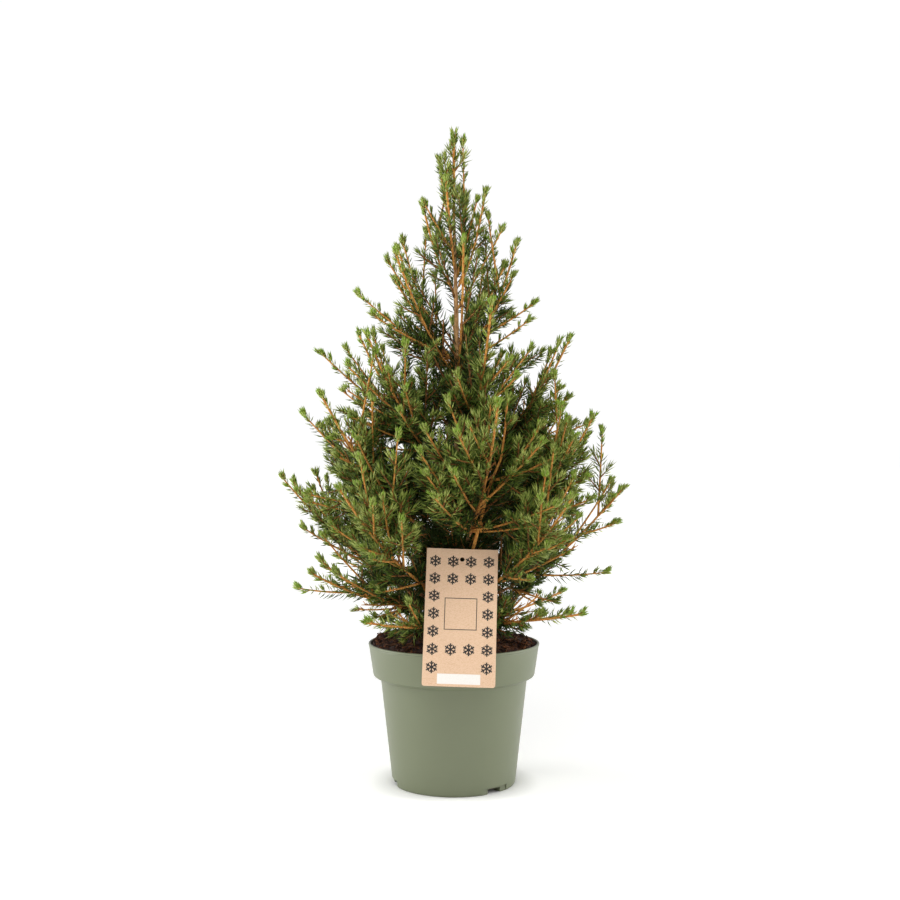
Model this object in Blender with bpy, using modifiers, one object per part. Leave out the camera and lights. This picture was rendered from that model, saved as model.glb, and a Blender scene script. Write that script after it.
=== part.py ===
"""Potted dwarf spruce: a young conical spruce in a moulded nursery pot with a printed card label.

Metres, +Z up. The origin is the middle of the pot's flat underside. Bearings are in degrees seen
from above, from 0 at the front (-Y) to 90 on the right (+X).

The plant is a trunk, the boughs that leave it in whorls, and a mass of foliage at the end of each
bough. Higher up, the masses spring straight from the trunk. A mass is one solid: the bough's leading
shoot, with side shoots whose needles are toothed blades.
"""

import math
import random

import bmesh
import bpy
import numpy as np
from mathutils import Matrix, Vector

# ---------------------------------------------------------------- driving dimensions
TREE_TOP = 0.6535  # tip of the leading shoot's wood, above the ground
CLEARANCE = 0.0003  # gap between two pieces that rest on each other
SEED = 11
SMOOTH_LIMIT = 35  # degrees between faces past which an edge is shaded sharp

POT_HEIGHT = 0.139
POT_RIM_RADIUS = 0.085
POT_WALL = 0.0016
POT_FLOOR = 0.003
COLLAR_HEIGHT = 0.0325  # the stacking collar, from the rim to its lower edge
COLLAR_FOOT_RADIUS = 0.080
BODY_TOP_RADIUS = 0.0726
BODY_FOOT_RADIUS = 0.061
POT_STEPS = 36
DRAIN_COUNT = 3
DRAIN_FIRST_BEARING = 41
DRAIN_WIDTH = 0.016
DRAIN_HEIGHT = 0.0045
RECESS_WIDTH = 0.031
RECESS_HEIGHT = 0.0065
RECESS_DEPTH = 0.0007
CUTTER_REACH = 0.012  # how far a cutter runs in and out of the wall
RIM_BEAD = 0.0006  # the rim's lip stands this far out

SOIL_EDGE_HEIGHT = 0.131
SOIL_MOUND = 0.011  # how much higher the root ball is round the trunk
SOIL_LUMP = 0.0022
SOIL_SIDES = 26
FACET_ROOM = 0.0005  # the pot's wall is faceted, so the root ball keeps this much further in

TRUNK_FLARE_RADIUS = 0.0105
TRUNK_FOOT_RADIUS = 0.0062
TRUNK_TIP_RADIUS = 0.0012
TRUNK_TIP_HEIGHT = 0.562
TRUNK_SWAY = 0.0035
TRUNK_SIDES_LEVEL = 2

LONGEST_SHOOT = 0.080
# Whorls from the soil up: number of boughs, first bearing, height on the trunk, slope at the trunk
# in degrees, reach of the tips from the axis, height of the tips, and the longest side shoot.
WHORLS = (
    ("skirt", 5, 62, 0.160, 4, 0.148, 0.190, 0.062),
    ("wide", 6, 28, 0.178, 14, 0.171, 0.292, LONGEST_SHOOT),
    ("middle", 6, 68, 0.226, 22, 0.150, 0.364, LONGEST_SHOOT),
    ("upper", 5, 92, 0.300, 34, 0.119, 0.446, 0.070),
    ("shoulder", 5, 88, 0.408, 42, 0.066, 0.521, 0.060),
    ("spire", 4, 75, 0.500, 48, 0.032, 0.582, 0.036),
)
LEADER_SHOOT = 0.026  # the leader's longest side shoot
LIMBED_WHORLS = ("skirt", "wide", "middle", "upper")  # those with a bough between trunk and mass
BEARING_JITTER = 9
HEIGHT_JITTER = 0.010
REACH_JITTER = 0.06
KNEE = 0.58  # where along its reach a bough turns upwards
LIMB_SHARE = 0.25  # of a bough's line that is bare limb, before its mass starts
LIMB_RADIUS_PER_METRE = 0.0095  # a bough's radius at the trunk, for each metre of its length
LIMB_LEAST_RADIUS = 0.0011
SHOOT_TIP_RADIUS = 0.0007
LINE_POINTS = 8
BUTT = 0.002  # straight length on each side of the joint between a limb and its mass
SWERVE = 0.06  # how far to one side a bough's tip may lie, as a share of its reach
TAPER_POWER = 0.85  # under 1, a bough thins faster near the trunk

SPRAY_WIDTH = 0.034
SPRAY_WIDTH_SHARE = 0.5  # a short spray's width, as a share of its length
SPRAY_THICKNESS = 0.0018
TWIG_ROOT_RADIUS = 0.00085
TWIG_END_RADIUS = 0.0007
TWIG_TURN = 0.5  # radians about its own length, so that its edges miss the blade's
BLADE_START = 0.0050  # bare twig between the shoot's middle and the first needles
TWIG_SHARE = 0.15  # of a spray's length that its twig runs on inside the blade
SPRAY_SHORTEST = 0.020
TIP_BLADE_LONGEST = 0.060
TIP_BLADE_SHARE = 0.8  # of a short leading shoot's length
TIP_BLADE_WIDTH = 0.019
TIP_BLADE_ROLL = 0.6
TIP_BLADE_OVERLAP = 0.4  # of the tip blade's length that the stem runs on inside it
SPRAY_TRIES = (1.0, 0.85, 0.7, 0.55)  # shares of its full length that a side shoot is tried at
SPRAY_TURNS = (0.0, 1.2, -1.2)  # radians round the stem that it is tried at
SPRAY_LEAN = 44  # degrees between a side shoot and the shoot that bears it
SPRAY_PITCH = 0.0225
SPRAY_TAPER = 0.75  # how much longer a side shoot is for each metre that it stands behind the tip
BARE_END = 0.028  # the leading shoot's end has no side shoots
TEETH = 3
ROOT_WIDTH = 0.15  # width of a spray's root, as a share of its full width
TOOTH_FALL = 0.75  # how much narrower a spray gets towards its tip
NOTCH = 0.5  # how much of a tooth's reach is left between it and the next
TOOTH_LEAN = 0.21
GOLDEN_ANGLE = math.radians(137.5)
SPACE_MARGIN = 0.0016  # a mass keeps at least this far inside its own space
WOOD_MARGIN = 0.0020  # and this far from the trunk and the boughs
SOIL_MARGIN = 0.003
RIM_MARGIN = 0.006
RIM_TOP_MARGIN = 0.002
DROOP_LIMIT = 0.010  # sprays outside the pot reach no further than this below its rim
LABEL_MARGIN = 0.003

LABEL_WIDTH = 0.068
LABEL_LENGTH = 0.132
LABEL_THICKNESS = 0.0008
LABEL_CORNER = 0.0025
LABEL_LEAN = 21  # degrees that its top leans back
LABEL_ROLL = 1.9
LABEL_FOOT = (0.0038, 0.1115)  # across from the middle, and above the ground
LABEL_HOLE_RADIUS = 0.0022
LABEL_HOLE_DROP = 0.010  # from the top edge to the hole's middle
LABEL_GAP = (29, 37)  # bearings left and right of the front that the low boughs leave free

SAGE_PLASTIC = ((0.24, 0.27, 0.18), 0.45)
BARK_SOIL = ((0.045, 0.022, 0.012), 0.95)
TRUNK_BARK = ((0.33, 0.20, 0.11), 0.85)
TWIG_BARK = ((0.38, 0.17, 0.06), 0.80)
NEEDLES = ((0.07, 0.14, 0.03), 0.55)
KRAFT_CARD = ((0.80, 0.60, 0.42), 0.75)


# ---------------------------------------------------------------- scene and small helpers
def clear_scene():
    for old in list(bpy.data.objects):
        bpy.data.objects.remove(old)


def new_collection(name):
    made = bpy.data.collections.new(name)
    bpy.context.scene.collection.children.link(made)
    return made


def material(name, finish):
    colour, roughness = finish
    made = bpy.data.materials.new(name)
    made.use_nodes = True
    shader = made.node_tree.nodes["Principled BSDF"]
    shader.inputs["Base Color"].default_value = (*colour, 1.0)
    shader.inputs["Roughness"].default_value = roughness
    return made


def add_object(name, data, collection, finish=None):
    made = bpy.data.objects.new(name, data)
    collection.objects.link(made)
    if finish:
        data.materials.append(finish)
    return made


def mesh_from(build):
    """A mesh made by a function that fills an empty bmesh."""
    shape = bmesh.new()
    build(shape)
    made = bpy.data.meshes.new("shape")
    shape.to_mesh(made)
    shape.free()
    return made


def as_mesh(curve_object):
    """The mesh of a curve object, with its caps welded on. The curve is removed."""
    bpy.context.view_layer.update()
    evaluated = curve_object.evaluated_get(bpy.context.evaluated_depsgraph_get())
    made = bpy.data.meshes.new_from_object(evaluated)
    made.transform(curve_object.matrix_world)
    shape = bmesh.new()
    shape.from_mesh(made)
    bmesh.ops.remove_doubles(shape, verts=shape.verts, dist=1e-6)
    bmesh.ops.recalc_face_normals(shape, faces=shape.faces)
    shape.to_mesh(made)
    shape.free()
    bpy.data.objects.remove(curve_object)
    return made


def apply_modifiers(target):
    bpy.context.view_layer.update()
    evaluated = target.evaluated_get(bpy.context.evaluated_depsgraph_get())
    baked = bpy.data.meshes.new_from_object(evaluated)
    target.modifiers.clear()
    target.data = baked


def shade_round(target):
    target.data.shade_smooth()
    target.data.set_sharp_from_angle(angle=math.radians(SMOOTH_LIMIT))


def limb_curve(name, points, radii, collection, level):
    """A tapering round limb: a poly spline with a bevel, 4 + 2 * level sides and filled caps."""
    data = bpy.data.curves.new(name, "CURVE")
    data.dimensions = "3D"
    data.bevel_depth = 1.0
    data.bevel_resolution = level
    data.use_fill_caps = True
    spline = data.splines.new("POLY")
    spline.points.add(len(points) - 1)
    for place, point, radius in zip(spline.points, points, radii):
        place.co = (*point, 1.0)
        place.radius = radius
    return add_object(name, data, collection)


def bearing_vector(bearing):
    """The level direction of a bearing in degrees."""
    angle = math.radians(bearing)
    return Vector((math.sin(angle), -math.cos(angle), 0.0))


def between(low, high, share):
    return low + (high - low) * share


# ---------------------------------------------------------------- pot
def outer_wall_radius(height):
    """The pot body's outer radius under its collar."""
    return between(BODY_FOOT_RADIUS, BODY_TOP_RADIUS, height / (POT_HEIGHT - COLLAR_HEIGHT))


def inner_wall():
    """Radius and height of the corners of the pot's inner wall, from the floor up to the rim."""
    collar_foot = POT_HEIGHT - COLLAR_HEIGHT
    return [
        (outer_wall_radius(POT_FLOOR) - POT_WALL, POT_FLOOR),
        (BODY_TOP_RADIUS - POT_WALL, collar_foot - 0.002),
        (COLLAR_FOOT_RADIUS - POT_WALL, collar_foot + 0.0035),
        (POT_RIM_RADIUS - RIM_BEAD - POT_WALL, POT_HEIGHT),
    ]


def pot_profile():
    """Wall section from the middle of the floor, up the inside, over the rim and down the outside."""
    collar_foot = POT_HEIGHT - COLLAR_HEIGHT
    outside = [
        (POT_RIM_RADIUS, POT_HEIGHT),
        (POT_RIM_RADIUS, POT_HEIGHT - 0.0020),
        (POT_RIM_RADIUS - RIM_BEAD, POT_HEIGHT - 0.0026),
        (COLLAR_FOOT_RADIUS, collar_foot + 0.0022),
        (COLLAR_FOOT_RADIUS - 0.0008, collar_foot + 0.0006),
        (COLLAR_FOOT_RADIUS - 0.0030, collar_foot - 0.0008),
        (BODY_TOP_RADIUS, collar_foot - 0.0032),
        (outer_wall_radius(0.003), 0.003),
        (outer_wall_radius(0.0) - 0.0006, 0.0008),
        (outer_wall_radius(0.0) - 0.0016, 0.0),
        (0.0, 0.0),
    ]
    return [(0.0, POT_FLOOR)] + inner_wall() + outside


def turned(name, profile, steps, collection, finish):
    """A solid of revolution about +Z: an edge profile with a Screw modifier."""

    def draw(shape):
        corners = [shape.verts.new((radius, 0.0, height)) for radius, height in profile]
        for first, second in zip(corners, corners[1:]):
            shape.edges.new((first, second))

    made = add_object(name, mesh_from(draw), collection, finish)
    screw = made.modifiers.new("Turn", "SCREW")
    screw.steps = screw.render_steps = steps
    screw.use_merge_vertices = True
    screw.merge_threshold = 0.00005
    return made


def box_cutter(name, size, centre, bearing, collection):
    def draw(shape):
        bmesh.ops.create_cube(shape, size=1.0, matrix=Matrix.Diagonal((*size, 1.0)))

    made = add_object(name, mesh_from(draw), collection)
    made.location = centre
    made.rotation_euler.z = math.radians(bearing)
    made.hide_render = True
    made.display_type = "WIRE"
    return made


def build_pot(collection, cutters):
    """The pot, with drain slots at its foot, each in the middle of a shallow flat recess."""
    pot = turned("pot", pot_profile(), POT_STEPS, collection, material("sage_plastic", SAGE_PLASTIC))
    flat_depth = BODY_FOOT_RADIUS - math.sqrt(BODY_FOOT_RADIUS**2 - (RECESS_WIDTH / 2) ** 2)
    recess_radius = BODY_FOOT_RADIUS - flat_depth - RECESS_DEPTH + CUTTER_REACH / 2
    for index in range(DRAIN_COUNT):
        bearing = DRAIN_FIRST_BEARING + index * 360 / DRAIN_COUNT
        out = bearing_vector(bearing)
        slot = (DRAIN_WIDTH, CUTTER_REACH, 2 * DRAIN_HEIGHT)
        box_cutter(f"drain_cut_{index}", slot, out * BODY_FOOT_RADIUS, bearing, cutters)
        recess = (RECESS_WIDTH, CUTTER_REACH, 2 * RECESS_HEIGHT)
        box_cutter(f"recess_cut_{index}", recess, out * recess_radius, bearing, cutters)
    cut = pot.modifiers.new("Drains", "BOOLEAN")
    cut.operation = "DIFFERENCE"
    cut.operand_type = "COLLECTION"
    cut.collection = cutters
    cut.solver = "EXACT"
    apply_modifiers(pot)
    shade_round(pot)
    return pot


# ---------------------------------------------------------------- growing medium
def soil_height(x, y):
    """Top of the root ball: a low mound with lumps, a little higher at the back left."""
    radius = math.hypot(x, y) / POT_RIM_RADIUS
    mound = SOIL_MOUND * max(0.0, 1.0 - radius**2)
    heap = 0.004 * max(0.0, -x + 0.4 * y) / POT_RIM_RADIUS
    lumps = math.sin(310 * x + 1.3) * math.sin(270 * y + 0.4) + 0.6 * math.sin(190 * (x + y))
    return SOIL_EDGE_HEIGHT + mound + heap + SOIL_LUMP * lumps * min(1.0, 0.4 + radius)


def inner_radius(height):
    """The radius of the pot's inner wall at a height."""
    radii, heights = zip(*inner_wall())
    return float(np.interp(height, heights, radii))


def build_soil(collection):
    """The root ball fills the pot to just under the rim, clear of its wall all round."""
    floor = POT_FLOOR + CLEARANCE
    shoulder = SOIL_EDGE_HEIGHT - 0.002
    wall_heights = [floor] + [height for _, height in inner_wall()[1:3]] + [shoulder]
    wall_rings = [
        (inner_radius(height) - CLEARANCE - FACET_ROOM, height) for height in wall_heights
    ]
    edge_radius = wall_rings[-1][0]
    top_radii = [edge_radius * share for share in (0.80, 0.56, 0.34)] + [TRUNK_FLARE_RADIUS * 1.35]

    def grow_ring(shape, edge_loop, radius, height_at):
        """Extrude an edge loop to a level ring of a radius, at the height of each bearing."""
        grown = bmesh.ops.extrude_edge_only(shape, edges=edge_loop)["geom"]
        for corner in [part for part in grown if isinstance(part, bmesh.types.BMVert)]:
            level = Vector((corner.co.x, corner.co.y, 0.0)).normalized() * radius
            corner.co = (level.x, level.y, height_at(level.x, level.y))
        return [part for part in grown if isinstance(part, bmesh.types.BMEdge)]

    def draw(shape):
        bmesh.ops.create_circle(shape, segments=SOIL_SIDES, radius=wall_rings[0][0], cap_ends=True)
        bmesh.ops.translate(shape, verts=shape.verts, vec=(0.0, 0.0, floor))
        edge_loop = list(shape.edges)
        for radius, height in wall_rings[1:]:
            edge_loop = grow_ring(shape, edge_loop, radius, lambda x, y: height)
        for radius in top_radii:
            edge_loop = grow_ring(shape, edge_loop, radius, soil_height)
        for corner in {corner for edge in edge_loop for corner in edge.verts}:
            corner.co.z = soil_height(0.0, 0.0)  # the root flare stands on a level spot
        bmesh.ops.contextual_create(shape, geom=edge_loop)
        bmesh.ops.recalc_face_normals(shape, faces=shape.faces)

    return add_object("root_ball", mesh_from(draw), collection, material("bark_soil", BARK_SOIL))


# ---------------------------------------------------------------- label
def label_matrix():
    """From the card's own axes, with x across, y up the card and z out of its face, to the world.

    The card leans back against the outer edge of the rim, with the clearance between them."""
    lean = math.radians(LABEL_LEAN)
    up_card = Vector((0.0, math.sin(lean), math.cos(lean)))
    out_of_face = Vector((0.0, -math.cos(lean), math.sin(lean)))
    across, foot_height = LABEL_FOOT
    rim_edge = Vector((across, -POT_RIM_RADIUS, POT_HEIGHT))
    below_rim = (POT_HEIGHT - foot_height) / math.cos(lean)
    foot = rim_edge + out_of_face * (CLEARANCE + LABEL_THICKNESS / 2) - up_card * below_rim
    turn = Matrix.Rotation(math.pi / 2 - lean, 4, "X")
    return Matrix.Translation(foot) @ turn @ Matrix.Rotation(-math.radians(LABEL_ROLL), 4, "Z")


def label_outline(steps=3):
    """The card's outline: a rectangle with rounded lower corners and square upper ones."""
    half = LABEL_WIDTH / 2
    corner = LABEL_CORNER
    points = []
    for side, start in ((-1, 180), (1, 270)):
        for step in range(steps + 1):
            angle = math.radians(start + 90 * step / steps)
            middle = (side * (half - corner), corner)
            points.append((middle[0] + corner * math.cos(angle), middle[1] + corner * math.sin(angle)))
    return points + [(half, LABEL_LENGTH), (-half, LABEL_LENGTH)]


def flat_plate(name, outlines, thickness, collection):
    """A flat 2D curve, filled and extruded to its thickness. Later outlines are holes."""
    data = bpy.data.curves.new(name, "CURVE")
    data.dimensions = "2D"
    data.fill_mode = "BOTH"
    data.extrude = thickness / 2
    for outline in outlines:
        spline = data.splines.new("POLY")
        spline.points.add(len(outline) - 1)
        for place, (x, y) in zip(spline.points, outline):
            place.co = (x, y, 0.0, 1.0)
        spline.use_cyclic_u = True
    return add_object(name, data, collection)


def build_label(collection):
    """A printed card with a small round hole near its top, through which a twig holds it."""
    middle = (0.0, LABEL_LENGTH - LABEL_HOLE_DROP)
    turns = [math.tau * step / 12 for step in range(12)]
    hole = [
        (middle[0] + LABEL_HOLE_RADIUS * math.cos(a), middle[1] + LABEL_HOLE_RADIUS * math.sin(a))
        for a in turns
    ]
    plate = flat_plate("label_plate", [label_outline(), hole], LABEL_THICKNESS, collection)
    label = add_object("label", as_mesh(plate), collection, material("kraft_card", KRAFT_CARD))
    label.matrix_world = label_matrix()
    return label


# ---------------------------------------------------------------- trunk
def trunk_share(height):
    return (height - SOIL_EDGE_HEIGHT) / (TRUNK_TIP_HEIGHT - SOIL_EDGE_HEIGHT)


def trunk_centre(height):
    """The stem bows a little to the right on its way up and comes back over its foot."""
    return Vector((TRUNK_SWAY * math.sin(math.pi * trunk_share(height)), 0.0, height))


def trunk_radius(height):
    share = max(0.0, trunk_share(height))
    plain = between(TRUNK_FOOT_RADIUS, TRUNK_TIP_RADIUS, share**0.8)
    flare = (TRUNK_FLARE_RADIUS - TRUNK_FOOT_RADIUS) * math.exp(-share * 34)
    return plain + flare


def build_trunk(collection):
    foot = soil_height(0.0, 0.0) + CLEARANCE
    near_foot = [foot, foot + 0.004, foot + 0.010, foot + 0.018]
    steps = 10
    above = [between(foot + 0.032, TRUNK_TIP_HEIGHT, step / steps) for step in range(steps + 1)]
    heights = near_foot + above
    points = [trunk_centre(height) for height in heights]
    points[0] = points[1] - Vector((0.0, 0.0, points[1].z - foot))  # a level cut at the foot
    radii = [trunk_radius(height) for height in heights]
    trunk = limb_curve("trunk", points, radii, collection, TRUNK_SIDES_LEVEL)
    trunk.data.materials.append(material("trunk_bark", TRUNK_BARK))
    return trunk


# ---------------------------------------------------------------- boughs
class Bough:
    """One bough's centre line, from the trunk's bark to the tip of its leading shoot."""

    def __init__(self, name, line, radii, limb_points, longest_shoot):
        self.name = name
        self.line = line
        self.radii = radii
        self.limb_points = limb_points  # how many of the line's points are bare limb
        self.longest_shoot = longest_shoot


def clear_of_label(bearing):
    """A low bough that would grow into the label passes beside it."""
    turned_to_front = (bearing + 180) % 360 - 180
    left, right = LABEL_GAP
    if -left < turned_to_front < right:
        return -left if turned_to_front < (right - left) / 2 else right
    return bearing


def curve_point(start, knee, tip, share):
    """A point on the quadratic curve from start to tip that leaves towards the knee."""
    return start.lerp(knee, share).lerp(knee.lerp(tip, share), share)


def line_length(points):
    return sum((second - first).length for first, second in zip(points, points[1:]))


def plan_bough(name, rng, bearing, height, slope, reach, tip_height, limbed, longest_shoot):
    out = bearing_vector(bearing)
    rise = math.radians(slope)
    knee_reach = reach * KNEE
    length_guess = math.hypot(reach, tip_height - height)
    butt_radius = max(LIMB_LEAST_RADIUS, LIMB_RADIUS_PER_METRE * length_guess)
    bark = trunk_radius(height) + CLEARANCE + butt_radius * math.sin(rise) + FACET_ROOM / 2
    start = trunk_centre(height) + out * bark
    knee = trunk_centre(height) + out * knee_reach + Vector((0, 0, knee_reach * math.tan(rise)))
    sideways = Vector((-out.y, out.x, 0.0)) * rng.uniform(-SWERVE, SWERVE) * reach
    tip = out * reach + Vector((0.0, 0.0, tip_height)) + sideways
    shares = [step / (LINE_POINTS - 1) for step in range(LINE_POINTS)]
    line = [curve_point(start, knee, tip, share) for share in shares]
    radii = [between(butt_radius, SHOOT_TIP_RADIUS, share**TAPER_POWER) for share in shares]
    limb_points = round(LIMB_SHARE * (LINE_POINTS - 1)) + 1 if limbed else 0
    return Bough(name, line, radii, limb_points, longest_shoot)


def plan_boughs():
    """Every bough of every whorl, and last the leader that carries the trunk on to the top."""
    boughs = []
    for whorl, count, first, height, slope, reach, tip_height, longest_shoot in WHORLS:
        for index in range(count):
            rng = random.Random(SEED * 1000 + len(boughs))
            bearing = first + 360 * index / count + rng.uniform(-BEARING_JITTER, BEARING_JITTER)
            if whorl in ("skirt", "wide"):
                bearing = clear_of_label(bearing)
            lift = rng.uniform(-HEIGHT_JITTER, HEIGHT_JITTER)
            boughs.append(
                plan_bough(
                    f"{whorl}_{index + 1}",
                    rng,
                    bearing,
                    height + lift,
                    slope,
                    reach * (1 + rng.uniform(-REACH_JITTER, REACH_JITTER)),
                    tip_height + lift + rng.uniform(-HEIGHT_JITTER, HEIGHT_JITTER),
                    whorl in LIMBED_WHORLS,
                    longest_shoot,
                )
            )
    foot = trunk_centre(TRUNK_TIP_HEIGHT) + Vector((0.0, 0.0, CLEARANCE))
    top = Vector((0.0, 0.0, TREE_TOP))
    line = [foot.lerp(top, step / 4) for step in range(5)]
    radii = [between(TRUNK_TIP_RADIUS, SHOOT_TIP_RADIUS, step / 4) for step in range(5)]
    return boughs + [Bough("leader", line, radii, 0, LEADER_SHOOT)]


def limb_parts(bough):
    """Points and radii of the bare limb and of the mass's stem. They meet square to each other."""
    split = bough.limb_points - 1
    if split < 1:
        return None, (bough.line, bough.radii)
    joint = bough.line[split]
    along = (bough.line[split + 1] - bough.line[split - 1]).normalized()
    limb = bough.line[:split] + [joint - along * BUTT, joint]
    limb_radii = bough.radii[:split] + [bough.radii[split]] * 2
    clear = joint + along * CLEARANCE
    stem = [clear, clear + along * BUTT] + bough.line[split + 1 :]
    stem_radii = [bough.radii[split]] * 2 + bough.radii[split + 1 :]
    return (limb, limb_radii), (stem, stem_radii)


# ---------------------------------------------------------------- the space of each mass
def distance_to_line(points, line):
    """The distance from each of some points to a line of points joined by straight runs."""
    starts = np.array(line[:-1])
    runs = np.array(line[1:]) - starts
    away = points[:, None, :] - starts[None]
    shares = np.clip((away * runs).sum(2) / (runs * runs).sum(1), 0.0, 1.0)
    return np.linalg.norm(away - shares[..., None] * runs, axis=2).min(1)


class Space:
    """Which points each mass may fill: those nearer to its own bough than to any other, clear of
    the trunk, the limbs, the pot, the soil and the label."""

    def __init__(self, boughs):
        self.boughs = boughs
        self.to_label = label_matrix().inverted()

    def clear_of_wood(self, points):
        for point in points:
            height = min(point[2], TRUNK_TIP_HEIGHT)
            away = math.dist(point[:2], trunk_centre(height)[:2])
            if point[2] < TRUNK_TIP_HEIGHT and away < trunk_radius(height) + WOOD_MARGIN:
                return False
        for bough in self.boughs:
            if bough.limb_points:
                limb = bough.line[: bough.limb_points]
                if distance_to_line(points, limb).min() < bough.radii[0] + WOOD_MARGIN:
                    return False
        return True

    def clear_of_pot(self, points):
        for x, y, z in points:
            radius = math.hypot(x, y)
            if radius < POT_RIM_RADIUS - RIM_MARGIN and z < soil_height(x, y) + SOIL_MARGIN:
                return False
            if abs(radius - POT_RIM_RADIUS) < RIM_MARGIN and z < POT_HEIGHT + RIM_TOP_MARGIN:
                return False
            if radius > POT_RIM_RADIUS and z < POT_HEIGHT - DROOP_LIMIT:
                return False
        return True

    def clear_of_label(self, points):
        for point in points:
            card = self.to_label @ Vector(point)
            beside = abs(card.x) > LABEL_WIDTH / 2 + LABEL_MARGIN
            above = card.y > LABEL_LENGTH + LABEL_MARGIN
            if not beside and not above and card.z > -LABEL_MARGIN:
                return False
        return True

    def holds(self, bough, points):
        points = np.array(points)
        own = distance_to_line(points, bough.line)
        for other in self.boughs:
            if other is not bough:
                if (distance_to_line(points, other.line) - own).min() < 2 * SPACE_MARGIN:
                    return False
        clear_of_plant = self.clear_of_wood(points)
        return clear_of_plant and self.clear_of_pot(points) and self.clear_of_label(points)


# ---------------------------------------------------------------- foliage masses
def spray_outline(teeth):
    """A spray one long and one wide: on each side of its core, teeth that lean forward."""
    pitch = (1.0 - TOOTH_LEAN) / teeth
    side = []
    for tooth in range(teeth):
        foot = tooth * pitch
        half = 0.5 * (1.0 - TOOTH_FALL * (tooth / teeth) ** 2)
        side += [(half * (NOTCH if tooth else ROOT_WIDTH), foot), (half, foot + TOOTH_LEAN)]
    left = [(-x, y) for x, y in reversed(side)]
    return side + [(0.0, 1.0)] + left


def spray_frame(root, direction, roll):
    """Axes with y along the spray, x across it and z out of its face, turned by roll about y."""
    along = direction.normalized()
    side = along.cross(Vector((0.0, 0.0, 1.0)))
    if side.length < 0.2:
        side = along.cross(Vector((0.0, 1.0, 0.0)))
    side.normalize()
    face = side.cross(along)
    turn = Matrix((side, along, face)).transposed().to_4x4()
    return Matrix.Translation(root) @ turn @ Matrix.Rotation(roll, 4, "Y")


def spray_width(length):
    return min(SPRAY_WIDTH, length * SPRAY_WIDTH_SHARE)


def spray_reach(frame, length):
    """Points round a spray's edge, by which its room is judged."""
    width = spray_width(length)
    return [frame @ Vector((x * width, y * length, 0.0)) for x, y in spray_outline(TEETH) if y > 0.2]


def line_at(points, distance):
    """The point at a distance along a line, and the line's direction there."""
    for first, second in zip(points, points[1:]):
        run = (second - first).length
        if distance <= run:
            return first.lerp(second, distance / run), (second - first).normalized()
        distance -= run
    return points[-1], (points[-1] - points[-2]).normalized()


def fitting_spray(bough, place, spiral, longest, space):
    """The longest side shoot that finds room at a place on the stem, turned a little if need be."""
    root, along = place
    lean = math.radians(SPRAY_LEAN)
    for share in SPRAY_TRIES:
        for turn in SPRAY_TURNS:
            side = along.orthogonal().normalized()
            side.rotate(Matrix.Rotation(spiral + turn, 3, along))
            direction = along * math.cos(lean) + side * math.sin(lean)
            frame = spray_frame(root, direction, spiral)
            length = longest * share
            if length > SPRAY_SHORTEST and space.holds(bough, spray_reach(frame, length)):
                return frame, length
    return None


def plan_sprays(bough, stem, space):
    """Frames and lengths of a mass's sprays: side shoots in a spiral up the stem that lean forward
    and are shortened until they fit."""
    total = line_length(stem)
    sprays = []
    spiral = GOLDEN_ANGLE * len(bough.name)
    pitch = SPRAY_PITCH * math.sqrt(bough.longest_shoot / LONGEST_SHOOT)
    place = pitch / 2
    while place < total - BARE_END:
        spiral += GOLDEN_ANGLE
        reach = SPRAY_SHORTEST + SPRAY_TAPER * (total - BARE_END - place)
        longest = min(bough.longest_shoot, reach)
        spray = fitting_spray(bough, line_at(stem, place), spiral, longest, space)
        if spray:
            sprays.append(spray)
        place += pitch
    return sprays


def twig_mesh(length, root_radius, tip_radius):
    """A three-sided twig along +Y."""

    def draw(shape):
        lay = Matrix.Rotation(-math.pi / 2, 4, "X") @ Matrix.Translation((0.0, 0.0, length / 2))
        bmesh.ops.create_cone(
            shape,
            cap_ends=True,
            segments=3,
            radius1=root_radius,
            radius2=tip_radius,
            depth=length,
            matrix=lay,
        )

    return mesh_from(draw)


def cut_short(points, radii, length):
    """The first part of a line, with its radii, up to a length along it."""
    kept = [0]
    run = 0.0
    for index in range(1, len(points)):
        step = (points[index] - points[index - 1]).length
        if run + step >= length - 0.001:
            share = (length - run) / step
            end = points[index - 1].lerp(points[index], share)
            end_radius = between(radii[index - 1], radii[index], share)
            return [points[i] for i in kept] + [end], [radii[i] for i in kept] + [end_radius]
        run += step
        kept.append(index)
    return points, radii


def add_blade(name, frame, width, length, blade, parts):
    spray = add_object(name, blade.copy(), parts)
    spray.data.transform(frame @ Matrix.Diagonal((width, length, SPRAY_THICKNESS, 1.0)))


def join_parts(target, parts):
    """Fuse a mesh with every object of a collection, then remove the collection."""
    join = target.modifiers.new("Join", "BOOLEAN")
    join.operation = "UNION"
    join.operand_type = "COLLECTION"
    join.collection = parts
    join.solver = "EXACT"
    apply_modifiers(target)
    for part in list(parts.objects):
        bpy.data.objects.remove(part)
    bpy.data.collections.remove(parts)


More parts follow.
